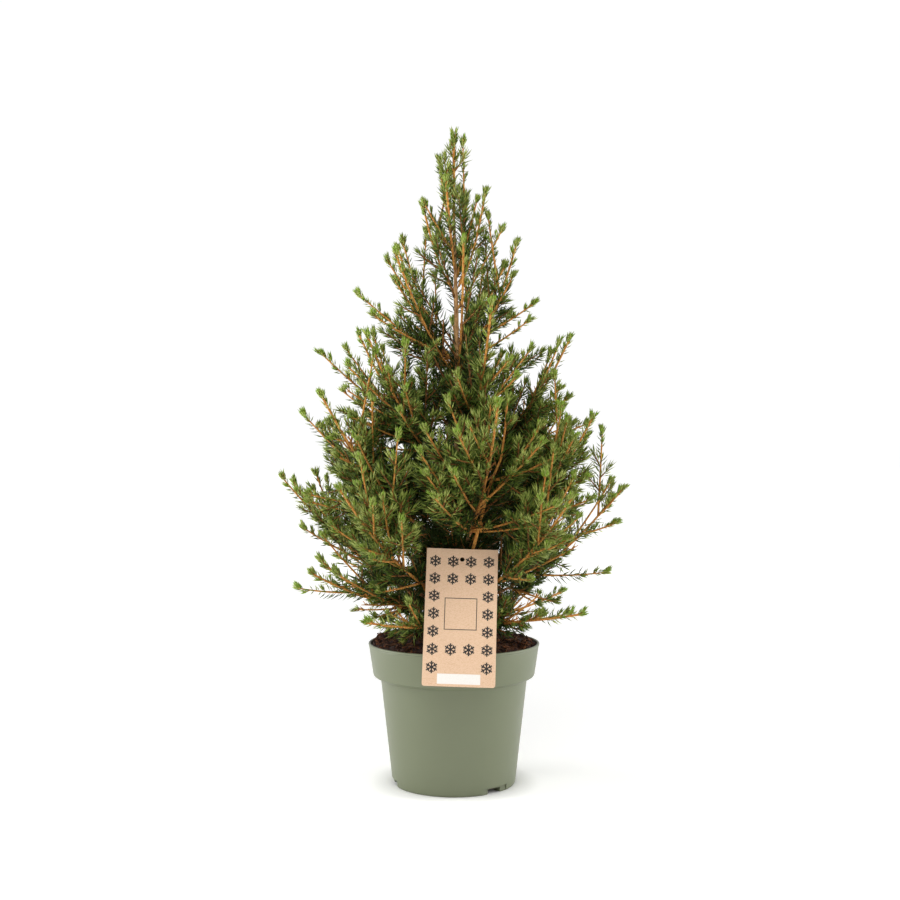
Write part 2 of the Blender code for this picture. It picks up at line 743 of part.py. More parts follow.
def build_mass(bough, stem, stem_radii, space, blade, collection, finish):
    """One closed solid: the stem, its side twigs and the needle blades."""
    parts = new_collection(f"{bough.name}_parts")
    total = line_length(stem)
    tip_blade = min(TIP_BLADE_LONGEST, TIP_BLADE_SHARE * total)
    bare = total - (1.0 - TIP_BLADE_OVERLAP) * tip_blade
    inner, inner_radii = cut_short(stem, stem_radii, bare)
    inner_radii[-1] = TWIG_END_RADIUS
    core = as_mesh(limb_curve("stem", inner, inner_radii, parts, 0))
    mass = add_object(f"foliage_{bough.name}", core, collection, finish)

    tip_root, _ = line_at(stem, total - tip_blade)
    tip_run = stem[-1] - tip_root
    tip_frame = spray_frame(tip_root, tip_run, TIP_BLADE_ROLL)
    add_blade("tip_blade", tip_frame, TIP_BLADE_WIDTH, tip_run.length, blade, parts)

    for frame, length in plan_sprays(bough, stem, space):
        needles_from = frame @ Matrix.Translation((0.0, BLADE_START, 0.0))
        add_blade("blade", needles_from, spray_width(length), length - BLADE_START, blade, parts)
        twig_length = BLADE_START + length * TWIG_SHARE
        twig = add_object("twig", twig_mesh(twig_length, TWIG_ROOT_RADIUS, TWIG_END_RADIUS), parts)
        twig.data.transform(frame @ Matrix.Rotation(TWIG_TURN, 4, "Y"))
    join_parts(mass, parts)
    return mass


def blade_template(collection):
    """A flat toothed spray of unit length, width and thickness, along +Y."""
    plate = flat_plate("blade_plate", [spray_outline(TEETH)], 1.0, collection)
    return as_mesh(plate)


# ---------------------------------------------------------------- assembly
def main():
    clear_scene()
    plant = new_collection("potted_spruce")
    cutters = new_collection("cutters")
    build_pot(plant, cutters)
    build_soil(plant)
    build_label(plant)
    build_trunk(plant)
    boughs = plan_boughs()
    space = Space(boughs)
    twig_bark = material("twig_bark", TWIG_BARK)
    needles = material("needles", NEEDLES)
    blade = blade_template(plant)
    for bough in boughs:
        limb, (stem, stem_radii) = limb_parts(bough)
        if limb:
            made = limb_curve(f"bough_{bough.name}", limb[0], limb[1], plant, 1)
            made.data.materials.append(twig_bark)
        build_mass(bough, stem, stem_radii, space, blade, plant, needles)


main()
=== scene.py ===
"""The finished look of a potted dwarf spruce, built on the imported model: pot, root ball, card label,
trunk, boughs and foliage, in the order in which they are put together. Metres, +Z up."""

import math
import random

import bmesh
import bpy
import numpy as np
from mathutils import Matrix, Vector, noise


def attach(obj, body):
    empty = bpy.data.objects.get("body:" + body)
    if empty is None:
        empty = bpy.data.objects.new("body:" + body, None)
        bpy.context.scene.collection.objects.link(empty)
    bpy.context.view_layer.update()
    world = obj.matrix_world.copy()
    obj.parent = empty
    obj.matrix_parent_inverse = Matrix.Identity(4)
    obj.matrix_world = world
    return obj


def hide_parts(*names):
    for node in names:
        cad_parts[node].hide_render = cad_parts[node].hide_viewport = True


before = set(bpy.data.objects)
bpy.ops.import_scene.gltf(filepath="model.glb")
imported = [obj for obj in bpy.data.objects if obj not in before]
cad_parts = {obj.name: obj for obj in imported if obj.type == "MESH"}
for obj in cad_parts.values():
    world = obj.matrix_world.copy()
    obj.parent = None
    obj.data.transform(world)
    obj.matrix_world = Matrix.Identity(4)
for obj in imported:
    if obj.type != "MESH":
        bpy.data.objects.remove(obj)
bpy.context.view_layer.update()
scene = bpy.context.scene

# ---------------------------------------------------------------- camera
# A level camera stands in front of the plant, at half of its height and 1.26 m from its trunk.
# Its square picture holds the whole plant, with room all round.
CAMERA_PLACE = (-0.0039, -1.264, 0.330)
CAMERA_LENS = 50.7  # mm, on a sensor of 36 mm

lens = bpy.data.cameras.new("camera")
lens.lens = CAMERA_LENS
lens.sensor_width = 36.0
camera = bpy.data.objects.new("camera", lens)
camera.location = CAMERA_PLACE
camera.rotation_euler.x = math.pi / 2
scene.collection.objects.link(camera)
scene.camera = camera


# ---------------------------------------------------------------- studio
# A sheet of white opal acrylic that glows as painted light from below, inside a white wall that goes all
# round.
# The ceiling is dark. A tall softbox on each side lights the pot's sides more than its middle.
FLOOR_HALF = 20.0
FLOOR_DROP = 0.0002  # under the pot's underside, so that the two don't share a plane
OPAL_CLOUD = 2 / 3  # metres, the size of the clouds of tone in the sheet
OPAL_GLOW = (0.30, 0.80)  # the floor's painted glow, near the pot and far from it
GLOW_RING = (0.6, 2.2)  # metres from the pot between which the glow grows
PAINTED_SHADOW_RING = (0.062, 0.086)  # metres from the pot's axis between which the painted contact shadow in the floor's glow ends
WALL_GLOW = 1.02
CEILING_GLOW = 0.15
WALL_TOP = (0.34, 0.56)  # sines of the elevations between which wall turns to ceiling
# Place, width and height, and power of each softbox.
SOFTBOXES = {
    "left": ((-1.35, 0.05, 0.50), (0.9, 1.5), 17.8),
    "right": ((1.35, 0.10, 0.50), (0.9, 1.5), 15.8),
    "top": ((-0.25, -1.15, 1.5), (1.2, 0.9), 12.5),
}
LIT_POINT = Vector((0.0, 0.0, 0.30))


def linear(code):
    """The linear colour of an sRGB hex value."""
    shares = [int(code[at : at + 2], 16) / 255 for at in (1, 3, 5)]
    return [s / 12.92 if s <= 0.04045 else ((s + 0.055) / 1.055) ** 2.4 for s in shares] + [1.0]


def add_node(tree, kind, inputs, **settings):
    """Adds a node. An input is a value, or the output of another node that is linked to it."""
    node = tree.nodes.new(kind)
    for name, value in settings.items():
        setattr(node, name, value)
    for name, value in inputs.items():
        if isinstance(value, bpy.types.NodeSocket):
            tree.links.new(value, node.inputs[name])
        else:
            node.inputs[name].default_value = value
    return node


def start_material(name, sockets):
    """A material, and its node tree and shader, with the shader's plain sockets set."""
    made = bpy.data.materials.new(name)
    made.use_nodes = True
    shader = made.node_tree.nodes["Principled BSDF"]
    for socket, value in sockets.items():
        shader.inputs[socket].default_value = value
    return made, made.node_tree, shader


def place_piece(name, mesh, *finishes):
    """An object at the origin that holds a mesh and its materials."""
    piece = bpy.data.objects.new(name, mesh)
    scene.collection.objects.link(piece)
    for finish in finishes:
        mesh.materials.append(finish)
    return piece


def shape_mesh(name, shape):
    """Turns a finished bmesh into a mesh."""
    made = bpy.data.meshes.new(name)
    shape.to_mesh(made)
    shape.free()
    return made


def add_softbox(name, place, size, power):
    light = bpy.data.lights.new(name, "AREA")
    light.shape = "RECTANGLE"
    light.size, light.size_y = size
    light.energy = power
    box = bpy.data.objects.new(name, light)
    box.location = place
    box.rotation_euler = (LIT_POINT - Vector(place)).to_track_quat("-Z", "Y").to_euler()
    scene.collection.objects.link(box)


# Opal acrylic, cast. Its glow is painted light that keeps the floor white. It is weaker round the pot,
# where the softboxes light it, and is cut to nothing under the pot as a painted contact shadow.
opal, tree, shader = start_material("acrylic_opal_cast", {"Roughness": 0.9})
spots = add_node(tree, "ShaderNodeTexCoord", {})
cloud = add_node(tree, "ShaderNodeTexNoise", {"Vector": spots.outputs["Object"], "Scale": 1 / OPAL_CLOUD})
tone = add_node(
    tree,
    "ShaderNodeMix",
    {0: cloud.outputs["Fac"], 6: linear("#F4F4F2"), 7: linear("#FAFAF8")},
    data_type="RGBA",
)
tree.links.new(tone.outputs[2], shader.inputs["Base Color"])
shader.inputs["Emission Color"].default_value = (1.0, 1.0, 1.0, 1.0)
away = add_node(tree, "ShaderNodeVectorMath", {0: spots.outputs["Object"]}, operation="LENGTH")
glow = add_node(
    tree,
    "ShaderNodeMapRange",
    {
        "Value": away.outputs["Value"],
        "From Min": GLOW_RING[0],
        "From Max": GLOW_RING[1],
        "To Min": OPAL_GLOW[0],
        "To Max": OPAL_GLOW[1],
    },
)
# Painted contact shadow: the floor's glow fades to nothing under the pot and close round it.
shade = add_node(
    tree,
    "ShaderNodeMapRange",
    {"Value": away.outputs["Value"], "From Min": PAINTED_SHADOW_RING[0], "From Max": PAINTED_SHADOW_RING[1]},
)
glow_with_painted_shadow = add_node(
    tree,
    "ShaderNodeMath",
    {0: glow.outputs["Result"], 1: shade.outputs["Result"]},
    operation="MULTIPLY",
)
tree.links.new(glow_with_painted_shadow.outputs["Value"], shader.inputs["Emission Strength"])

shape = bmesh.new()
bmesh.ops.create_grid(shape, x_segments=4, y_segments=4, size=FLOOR_HALF)
bmesh.ops.translate(shape, verts=shape.verts, vec=(0.0, 0.0, -FLOOR_DROP))
place_piece("floor", shape_mesh("floor", shape), opal)

surround = bpy.data.worlds.new("white_wall")
surround.use_nodes = True
tree = surround.node_tree
heading = add_node(tree, "ShaderNodeTexCoord", {})
parts = add_node(tree, "ShaderNodeSeparateXYZ", {"Vector": heading.outputs["Generated"]})
glow = add_node(
    tree,
    "ShaderNodeMapRange",
    {
        "Value": parts.outputs["Z"],
        "From Min": WALL_TOP[0],
        "From Max": WALL_TOP[1],
        "To Min": WALL_GLOW,
        "To Max": CEILING_GLOW,
    },
    interpolation_type="SMOOTHSTEP",
)
background = tree.nodes["Background"]
background.inputs["Color"].default_value = (1.0, 1.0, 1.0, 1.0)
tree.links.new(glow.outputs["Result"], background.inputs["Strength"])
scene.world = surround
scene.view_settings.view_transform = "Standard"
for side, (place, size, power) in SOFTBOXES.items():
    add_softbox(f"softbox_{side}", place, size, power)


# ---------------------------------------------------------------- pot
# A 17 cm nursery pot, injection moulded in sage green polypropylene. It has a rounded rim lip over
# a fine groove, a tapered stacking collar with a step under it, and three drain slots at its foot.
POT_STEPS = 144
POT_FLOOR = 0.003
RIM_RADIUS = 0.085
RIM_HEIGHT = 0.139
BODY_FOOT_RADIUS = 0.061
# The wall's corners, from the middle of the floor, up the inside, over the rim and down the outside:
# radius, height, and the size of the rounding.
POT_WALL = (
    (0.0, POT_FLOOR, 0.0),
    (0.0572, POT_FLOOR, 0.0012),
    (0.0711, 0.1046, 0.0010),
    (0.0784, 0.1100, 0.0012),
    (0.0828, RIM_HEIGHT, 0.0007),
    (RIM_RADIUS, RIM_HEIGHT, 0.0009),
    (RIM_RADIUS, 0.1369, 0.0005),
    (0.0842, 0.1364, 0.0002),
    (0.0844, 0.1358, 0.0002),
    (0.0800, 0.1068, 0.0018),
    (0.0727, 0.1036, 0.0009),
    (0.0613, 0.0030, 0.0),
    (0.0604, 0.0, 0.0010),
    (0.0, 0.0, 0.0),
)
DRAIN_BEARINGS = (41, 161, 281)
DRAIN_SIZE = (0.016, 0.028, 0.009)
RECESS_SIZE = (0.031, 0.012, 0.013)
RECESS_DEPTH = 0.0007
SAGE = "#676D54"
SAGE_PALE = "#6D735A"
SMOOTH_LIMIT = math.radians(35)


def bearing_vector(bearing):
    """The level direction of a bearing in degrees, from 0 at the front to 90 on the right."""
    angle = math.radians(bearing)
    return Vector((math.sin(angle), -math.cos(angle), 0.0))


def cut_away(piece, cutters):
    """Cuts the cutters' meshes out of a piece, and deletes the cutters."""
    for cutter in cutters:
        cut = piece.modifiers.new("Cut", "BOOLEAN")
        cut.operation = "DIFFERENCE"
        cut.object = cutter
        cut.solver = "EXACT"
    bpy.context.view_layer.update()
    evaluated = piece.evaluated_get(bpy.context.evaluated_depsgraph_get())
    cut_mesh = bpy.data.meshes.new_from_object(evaluated)
    piece.modifiers.clear()
    piece.data = cut_mesh
    for cutter in cutters:
        bpy.data.objects.remove(cutter)


def round_edges(shape, edges, size, segments):
    bmesh.ops.bevel(
        shape, geom=edges, offset=size, offset_type="OFFSET", affect="EDGES", segments=segments,
        profile=0.5, material=-1,
    )


def box_cutter(size, middle, bearing):
    shape = bmesh.new()
    turn = Matrix.Rotation(math.radians(bearing), 4, "Z")
    place = Matrix.Translation(middle) @ turn @ Matrix.Diagonal((*size, 1.0))
    bmesh.ops.create_cube(shape, size=1.0, matrix=place)
    return place_piece("cutter", shape_mesh("cutter", shape))


def seat(piece, slot, *nodes):
    """The piece moves with the one body and stands for its nodes. Its slot is not used."""
    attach(piece, "root")
    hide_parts(*nodes)
    return piece


shape = bmesh.new()
wall = [shape.verts.new((radius, 0.0, height)) for radius, height, _ in POT_WALL]
ribs = [shape.edges.new(pair) for pair in zip(wall, wall[1:])]
bmesh.ops.spin(
    shape, geom=wall + ribs, cent=(0.0, 0.0, 0.0), axis=(0.0, 0.0, 1.0), angle=math.tau,
    steps=POT_STEPS, use_merge=True,
)
bmesh.ops.remove_doubles(shape, verts=shape.verts, dist=1e-6)
bmesh.ops.recalc_face_normals(shape, faces=shape.faces)
for radius, height, rounding in POT_WALL:
    ring = [
        edge
        for edge in shape.edges
        if all(
            abs(math.hypot(v.co.x, v.co.y) - radius) < 1e-5 and abs(v.co.z - height) < 1e-5
            for v in edge.verts
        )
    ]
    if rounding:
        round_edges(shape, ring, rounding, 3)

# Polypropylene, injection moulded in a lightly blasted mould: satin, with faint clouds of tone.
sage_plastic, tree, shader = start_material(
    "polypropylene_moulded_sage", {"Roughness": 0.42, "IOR": 1.49}
)
spots = add_node(tree, "ShaderNodeTexCoord", {})
clouds = add_node(
    tree,
    "ShaderNodeTexNoise",
    {"Vector": spots.outputs["Object"], "Scale": 1 / 0.030, "Detail": 4.0, "Roughness": 0.6},
)
tone = add_node(
    tree,
    "ShaderNodeMix",
    {0: clouds.outputs["Fac"], 6: linear(SAGE), 7: linear(SAGE_PALE)},
    data_type="RGBA",
)
grain = add_node(
    tree,
    "ShaderNodeTexNoise",
    {"Vector": spots.outputs["Object"], "Scale": 1 / 0.0012, "Detail": 3.0},
)
dents = add_node(
    tree, "ShaderNodeBump", {"Height": grain.outputs["Fac"], "Strength": 0.12, "Distance": 0.0002}
)
sheen = add_node(
    tree,
    "ShaderNodeMapRange",
    {"Value": clouds.outputs["Fac"], "From Min": 0.3, "From Max": 0.7, "To Min": 0.38, "To Max": 0.48},
)
tree.links.new(tone.outputs[2], shader.inputs["Base Color"])
tree.links.new(dents.outputs["Normal"], shader.inputs["Normal"])
tree.links.new(sheen.outputs["Result"], shader.inputs["Roughness"])

pot = place_piece("pot_wall", shape_mesh("pot_wall", shape), sage_plastic)
flat_depth = BODY_FOOT_RADIUS - math.sqrt(BODY_FOOT_RADIUS**2 - (RECESS_SIZE[0] / 2) ** 2)
recess_radius = BODY_FOOT_RADIUS - flat_depth - RECESS_DEPTH + RECESS_SIZE[1] / 2
cutters = []
for bearing in DRAIN_BEARINGS:
    out = bearing_vector(bearing)
    cutters.append(box_cutter(RECESS_SIZE, out * recess_radius, bearing))
    cutters.append(box_cutter(DRAIN_SIZE, out * BODY_FOOT_RADIUS, bearing))
cut_away(pot, cutters)
pot.data.shade_smooth()
pot.data.set_sharp_from_angle(angle=SMOOTH_LIMIT)
seat(pot, "pot", "pot")


# ---------------------------------------------------------------- root ball
# Growing medium of composted bark and peat fibre. It is heaped a little at the back left, and
# elsewhere ends just below the rim. Loose bark chips and fibres lie on a crumbly bed.
SOIL_EDGE_HEIGHT = 0.131
SOIL_MOUND = 0.011
SOIL_LUMP = 0.0022
BED_SIDES = 120
BED_WALL = ((0.0562, 0.0034), (0.0702, 0.1046), (0.0774, 0.1100), (0.0808, 0.1285))
BED_RINGS = 34
CRUMB = 0.0016  # height of the bed's crumbs
CHIP_COUNTS = (620, 560, 260)
CHIP_COLOURS = ("#2E1407", "#48220D", "#70401B")
CHIP_LENGTH = (0.0025, 0.0085)
CHIP_REACH = 0.0795  # how far from the pot's axis they lie
CHIP_TILT = (0.42, 0.35)  # scatter of their tilt, in radians
FIBRE_COUNT = 420
FIBRE_LENGTH = (0.008, 0.026)
FIBRE_RADIUS = 0.00022
FIBRE_POINTS = 6
FIBRE_REACH = (0.076, 0.079)  # how far from the axis a fibre starts, and how far it may go
FIBRE_LIFT = 0.0008  # above the bed
FIBRE_ARCH = 0.0012
FIBRE_CURL = 0.45  # scatter of its turns, in radians


def soil_height(x, y):
    """Top of the root ball: a low mound with lumps, a little higher at the back left."""
    radius = np.hypot(x, y) / RIM_RADIUS
    mound = SOIL_MOUND * np.maximum(0.0, 1.0 - radius**2)
    heap = 0.004 * np.maximum(0.0, -x + 0.4 * y) / RIM_RADIUS
    lumps = np.sin(310 * x + 1.3) * np.sin(270 * y + 0.4) + 0.6 * np.sin(190 * (x + y))
    return SOIL_EDGE_HEIGHT + mound + heap + SOIL_LUMP * lumps * np.minimum(1.0, 0.4 + radius)


def bed_height(x, y):
    """The bed's crumbly top, which follows the root ball's."""
    crumbs = noise.fractal(Vector((x, y, 0.0)) / 0.006, 0.6, 2.0, 4)
    heap = (0.0035 * max(0.0, -x) + 0.0045 * max(0.0, x) + 0.0060 * max(0.0, y)) / RIM_RADIUS
    return soil_height(x, y) + heap + CRUMB * crumbs


def extrude(shape, ring):
    """Extrudes an edge loop in its place: the new corners, and the new edges."""
    grown = bmesh.ops.extrude_edge_only(shape, edges=ring)["geom"]
    kinds = (bmesh.types.BMVert, bmesh.types.BMEdge)
    return [[part for part in grown if isinstance(part, kind)] for kind in kinds]


def grow_ring(shape, ring, radius, height_at):
    """Extrudes an edge loop to a level ring of a radius, at the height that each spot has."""
    corners, ring = extrude(shape, ring)
    for corner in corners:
        level = Vector((corner.co.x, corner.co.y, 0.0)).normalized() * radius
        corner.co = (level.x, level.y, height_at(level.x, level.y))
    return ring


def joined_mesh(name, corners, faces):
    """One mesh from arrays: corner points, and a list of face arrays of as many corners each."""
    made = bpy.data.meshes.new(name)
    made.vertices.add(len(corners))
    made.vertices.foreach_set("co", np.asarray(corners, dtype=np.float32).ravel())
    order = np.concatenate([group.ravel() for group in faces])
    sizes = np.concatenate([np.full(len(group), group.shape[1]) for group in faces])
    starts = np.concatenate(([0], np.cumsum(sizes)[:-1]))
    made.loops.add(len(order))
    made.loops.foreach_set("vertex_index", order.astype(np.int32))
    made.polygons.add(len(sizes))
    made.polygons.foreach_set("loop_start", starts.astype(np.int32))
    made.update(calc_edges=True)
    made.validate()
    return made


def unit(vectors):
    return vectors / np.maximum(np.linalg.norm(vectors, axis=-1, keepdims=True), 1e-12)


def tubes(lines, radii, sides):
    """Corners and faces of many tapering tubes: lines is tube by point by axis, radii tube by point."""
    count, steps = radii.shape
    along = unit(np.gradient(lines, axis=1))
    least = np.argmin(np.abs(along.mean(1)), axis=1)
    aside = unit(np.cross(along, np.eye(3)[least][:, None, :]))
    across = np.cross(along, aside)
    turns = np.arange(sides) * math.tau / sides
    ring = np.cos(turns)[:, None] * aside[:, :, None] + np.sin(turns)[:, None] * across[:, :, None]
    corners = lines[:, :, None] + radii[:, :, None, None] * ring
    index = np.arange(count * steps * sides).reshape(count, steps, sides)
    low, high = index[:, :-1], index[:, 1:]
    walls = np.stack(
        (low, np.roll(low, -1, axis=2), np.roll(high, -1, axis=2), high), axis=-1
    ).reshape(-1, 4)
    ends = np.concatenate((index[:, 0, ::-1], index[:, -1]))
    return corners.reshape(-1, 3), [walls, ends]


def chip_corners(rng, count):
    """Flat splinters of bark with skewed ends, strewn over the bed."""
    square = np.array([(x, y, z) for z in (-1, 1) for y in (-1, 1) for x in (-1, 1)], dtype=float)
    chips = []
    for _ in range(count):
        radius = CHIP_REACH * math.sqrt(rng.random())
        bearing = rng.uniform(0.0, math.tau)
        x, y = radius * math.cos(bearing), radius * math.sin(bearing)
        length = rng.uniform(*CHIP_LENGTH) * rng.uniform(0.6, 1.0)
        size = np.array((length, length * rng.uniform(0.25, 0.55), rng.uniform(0.0005, 0.0012))) / 2
        skew = square * size * np.array([[rng.uniform(0.55, 1.0) for _ in range(3)] for _ in square])
        turn = Matrix.Rotation(rng.uniform(0.0, math.tau), 3, "Z")
        turn = turn @ Matrix.Rotation(rng.gauss(0.0, CHIP_TILT[0]), 3, "X")
        turn = turn @ Matrix.Rotation(rng.gauss(0.0, CHIP_TILT[1]), 3, "Y")
        lift = bed_height(x, y) + rng.uniform(-0.0002, 0.0016)
        chips.append(skew @ np.array(turn.transposed()) + np.array((x, y, lift)))
    return np.array(chips)


CHIP_FACES = np.array(
    ((0, 2, 3, 1), (4, 5, 7, 6), (0, 1, 5, 4), (2, 6, 7, 3), (0, 4, 6, 2), (1, 3, 7, 5))
)

shape = bmesh.new()
bmesh.ops.create_circle(shape, segments=BED_SIDES, radius=BED_WALL[0][0], cap_ends=True)
bmesh.ops.translate(shape, verts=shape.verts, vec=(0.0, 0.0, BED_WALL[0][1]))
ring = list(shape.edges)
for radius, height in BED_WALL[1:]:
    ring = grow_ring(shape, ring, radius, lambda x, y: height)
for step in range(BED_RINGS):
    ring = grow_ring(shape, ring, BED_WALL[-1][0] * (1 - step / BED_RINGS), bed_height)
bmesh.ops.contextual_create(shape, geom=ring)
bmesh.ops.recalc_face_normals(shape, faces=shape.faces)


def mottled_finish(name, dark, pale, roughness, size, detail, scatter, edges, bumps, stretch=1.0):
    """A matt material of two tones, with a relief that follows them. Their pattern has a size in
    metres, a detail, a scatter and edges between the tones; its bumps a strength and a height."""
    made, tree, shader = start_material(name, {"Roughness": roughness})
    spots = add_node(tree, "ShaderNodeTexCoord", {})
    drawn = add_node(
        tree, "ShaderNodeMapping", {"Vector": spots.outputs["Object"], "Scale": (1.0, 1.0, stretch)}
    )
    pattern = add_node(
        tree,
        "ShaderNodeTexNoise",
        {"Vector": drawn.outputs["Vector"], "Scale": 1 / size, "Detail": detail, "Roughness": scatter},
    )
    spread = add_node(
        tree,
        "ShaderNodeMapRange",
        {"Value": pattern.outputs["Fac"], "From Min": edges[0], "From Max": edges[1]},
    )
    tone = add_node(
        tree,
        "ShaderNodeMix",
        {0: spread.outputs["Result"], 6: linear(dark), 7: linear(pale)},
        data_type="RGBA",
    )
    relief = add_node(
        tree,
        "ShaderNodeBump",
        {"Height": pattern.outputs["Fac"], "Strength": bumps[0], "Distance": bumps[1]},
    )
    tree.links.new(tone.outputs[2], shader.inputs["Base Color"])
    tree.links.new(relief.outputs["Normal"], shader.inputs["Normal"])
    return made


def bark_medium(name, dark, pale):
    """Composted bark: matt and crumbly, from near black where damp to red-brown where dry."""
    return mottled_finish(
        name, dark, pale, roughness=0.92, size=0.004, detail=6.0, scatter=0.7, edges=(0.35, 0.68),
        bumps=(0.6, 0.0010),
    )


bed_finish = bark_medium("composted_bark_damp", "#160702", "#3C1C0B")
seat(place_piece("root_ball_bed", shape_mesh("bed", shape), bed_finish), "growing_medium", "root_ball")

rng = random.Random(5)
for number, (count, code) in enumerate(zip(CHIP_COUNTS, CHIP_COLOURS)):
    corners = chip_corners(rng, count)
    faces = (np.arange(count)[:, None, None] * 8 + CHIP_FACES).reshape(-1, 4)
    finish = bark_medium(f"bark_chips_shredded_{number + 1}", code, CHIP_COLOURS[min(number + 1, 2)])
    mesh = joined_mesh("chips", corners.reshape(-1, 3), [faces])
    seat(place_piece(f"bark_chips_{number + 1}", mesh, finish), "growing_medium", "root_ball")

fibres = []
for _ in range(FIBRE_COUNT):
    radius = FIBRE_REACH[0] * math.sqrt(rng.random())
    bearing = rng.uniform(0.0, math.tau)
    x, y = radius * math.cos(bearing), radius * math.sin(bearing)
    heading = rng.uniform(0.0, math.tau)
    length = rng.uniform(*FIBRE_LENGTH)
    line = []
    for step in range(FIBRE_POINTS):
        far = math.hypot(x, y)
        if far > FIBRE_REACH[1]:
            x, y = x * FIBRE_REACH[1] / far, y * FIBRE_REACH[1] / far
        arch = FIBRE_ARCH * math.sin(step * math.pi / (FIBRE_POINTS - 1))
        line.append((x, y, bed_height(x, y) + FIBRE_LIFT + arch))
        heading += rng.gauss(0.0, FIBRE_CURL)
        x += length / (FIBRE_POINTS - 1) * math.cos(heading)
        y += length / (FIBRE_POINTS - 1) * math.sin(heading)
    fibres.append(line)
fibres = np.array(fibres)
corners, faces = tubes(fibres, np.full(fibres.shape[:2], FIBRE_RADIUS), 3)
fibre_finish = bark_medium("peat_fibre_dry", "#452712", "#805631")
mesh = joined_mesh("fibres", corners, faces)
seat(place_piece("peat_fibres", mesh, fibre_finish), "growing_medium", "root_ball")


# ---------------------------------------------------------------- label
# A card label of brown kraft board, die cut with rounded lower corners and a small hole near its
# top. It leans on the rim and is printed in black, with a plain white panel left at its foot.
LABEL_WIDTH = 0.068
LABEL_LENGTH = 0.132
LABEL_BOARD = 0.0006
LABEL_SOLID = 0.0008  # thickness of the frame's own plate, which leans on the rim
LABEL_CORNER = 0.0025
LABEL_LEAN = math.radians(21)
LABEL_ROLL = math.radians(1.9)
LABEL_FOOT = (0.0038, 0.1115)
LABEL_CLEARANCE = 0.0003
HOLE_RADIUS = 0.0022
HOLE_DROP = 0.010
DIMPLE = 0.0011  # the board is pressed in a little round its hole
BOW = 0.0007
BOARD_STEPS = (20, 38)  # across and along
INK = 0.00006  # thickness of the film
INK_LIFT = 0.00002  # off the board's own plane
CRYSTAL_COLUMNS = (-0.0255, -0.0085, 0.0085, 0.0255)
CRYSTAL_ROWS = (0.1195, 0.1025, 0.0855, 0.0685, 0.0515, 0.0345, 0.0175)
CRYSTAL_ARM = 0.0058
CRYSTAL_BARB = (0.5, 0.42, 0.9)  # place and length as shares of the arm, and turn in radians
CRYSTAL_LINES = (0.0013, 0.0011)  # thickness of arms and barbs
FRAME_MIDDLE = 0.0685
FRAME_SIDE = 0.0300
FRAME_LINE = 0.0007
FRAME_PARTS = 6  # of each side, so that it follows the board's bend
PANEL = (0.040, 0.0095, 0.0070)  # width, height, and its middle above the foot
# Crystals in the inner columns, up to this reach, keep this far from the frame's middle, and above
# this height over the panel.
INNER_REACH = 0.020
FRAME_ROOM = 0.0186
PANEL_ROOM = 0.025
KRAFT = "#E4C2A3"
KRAFT_FLECK = "#CEA681"


def label_matrix():
    """From the card's axes, with x across, y up the card and z out of its face, to the world."""
    up_card = Vector((0.0, math.sin(LABEL_LEAN), math.cos(LABEL_LEAN)))
    out_of_face = Vector((0.0, -math.cos(LABEL_LEAN), math.sin(LABEL_LEAN)))
    across, foot_height = LABEL_FOOT
    rim_edge = Vector((across, -RIM_RADIUS, RIM_HEIGHT))
    below_rim = (RIM_HEIGHT - foot_height) / math.cos(LABEL_LEAN)
    foot = rim_edge + out_of_face * (LABEL_CLEARANCE + LABEL_SOLID / 2) - up_card * below_rim
    turn = Matrix.Rotation(math.pi / 2 - LABEL_LEAN, 4, "X")
    return Matrix.Translation(foot) @ turn @ Matrix.Rotation(-LABEL_ROLL, 4, "Z")


def bend_card(mesh):
    """Bows a flat card's mesh a little, dimples it round the hole and leans it on the rim."""
    for vertex in mesh.vertices:
        x, y, _ = vertex.co
        bow = BOW * (1 - math.cos(math.pi * y / LABEL_LENGTH)) / 2 * (x / LABEL_WIDTH * 2) ** 2
        away = math.hypot(x, y - (LABEL_LENGTH - HOLE_DROP))
        vertex.co.z += bow - DIMPLE * math.exp(-((away / 0.008) ** 2))
    mesh.transform(label_matrix())


def add_bar(shape, start, end, width, height):
    """A flat bar of ink from start to end on the card."""
    run = Vector(end) - Vector(start)
    middle = (Vector(start) + Vector(end)) / 2
    turn = Matrix.Rotation(math.atan2(run.y, run.x), 4, "Z")
    size = Matrix.Diagonal((run.length, width, INK, 1.0))
    place = Matrix.Translation((middle.x, middle.y, height))
    bmesh.ops.create_cube(shape, size=1.0, matrix=place @ turn @ size)


shape = bmesh.new()
half = LABEL_WIDTH / 2
bmesh.ops.create_grid(shape, x_segments=BOARD_STEPS[0], y_segments=BOARD_STEPS[1], size=0.5)
bmesh.ops.scale(shape, verts=shape.verts, vec=(LABEL_WIDTH, LABEL_LENGTH, 1.0))
bmesh.ops.solidify(shape, geom=shape.faces[:], thickness=LABEL_BOARD)
middle_height = sum(v.co.z for v in shape.verts) / len(shape.verts)
bmesh.ops.translate(shape, verts=shape.verts, vec=(0.0, LABEL_LENGTH / 2, -middle_height))
foot_edges = [
    edge
    for edge in shape.edges
    if all(v.co.y < 1e-5 and abs(abs(v.co.x) - half) < 1e-5 for v in edge.verts)
]
round_edges(shape, foot_edges, LABEL_CORNER, 5)
bmesh.ops.recalc_face_normals(shape, faces=shape.faces)

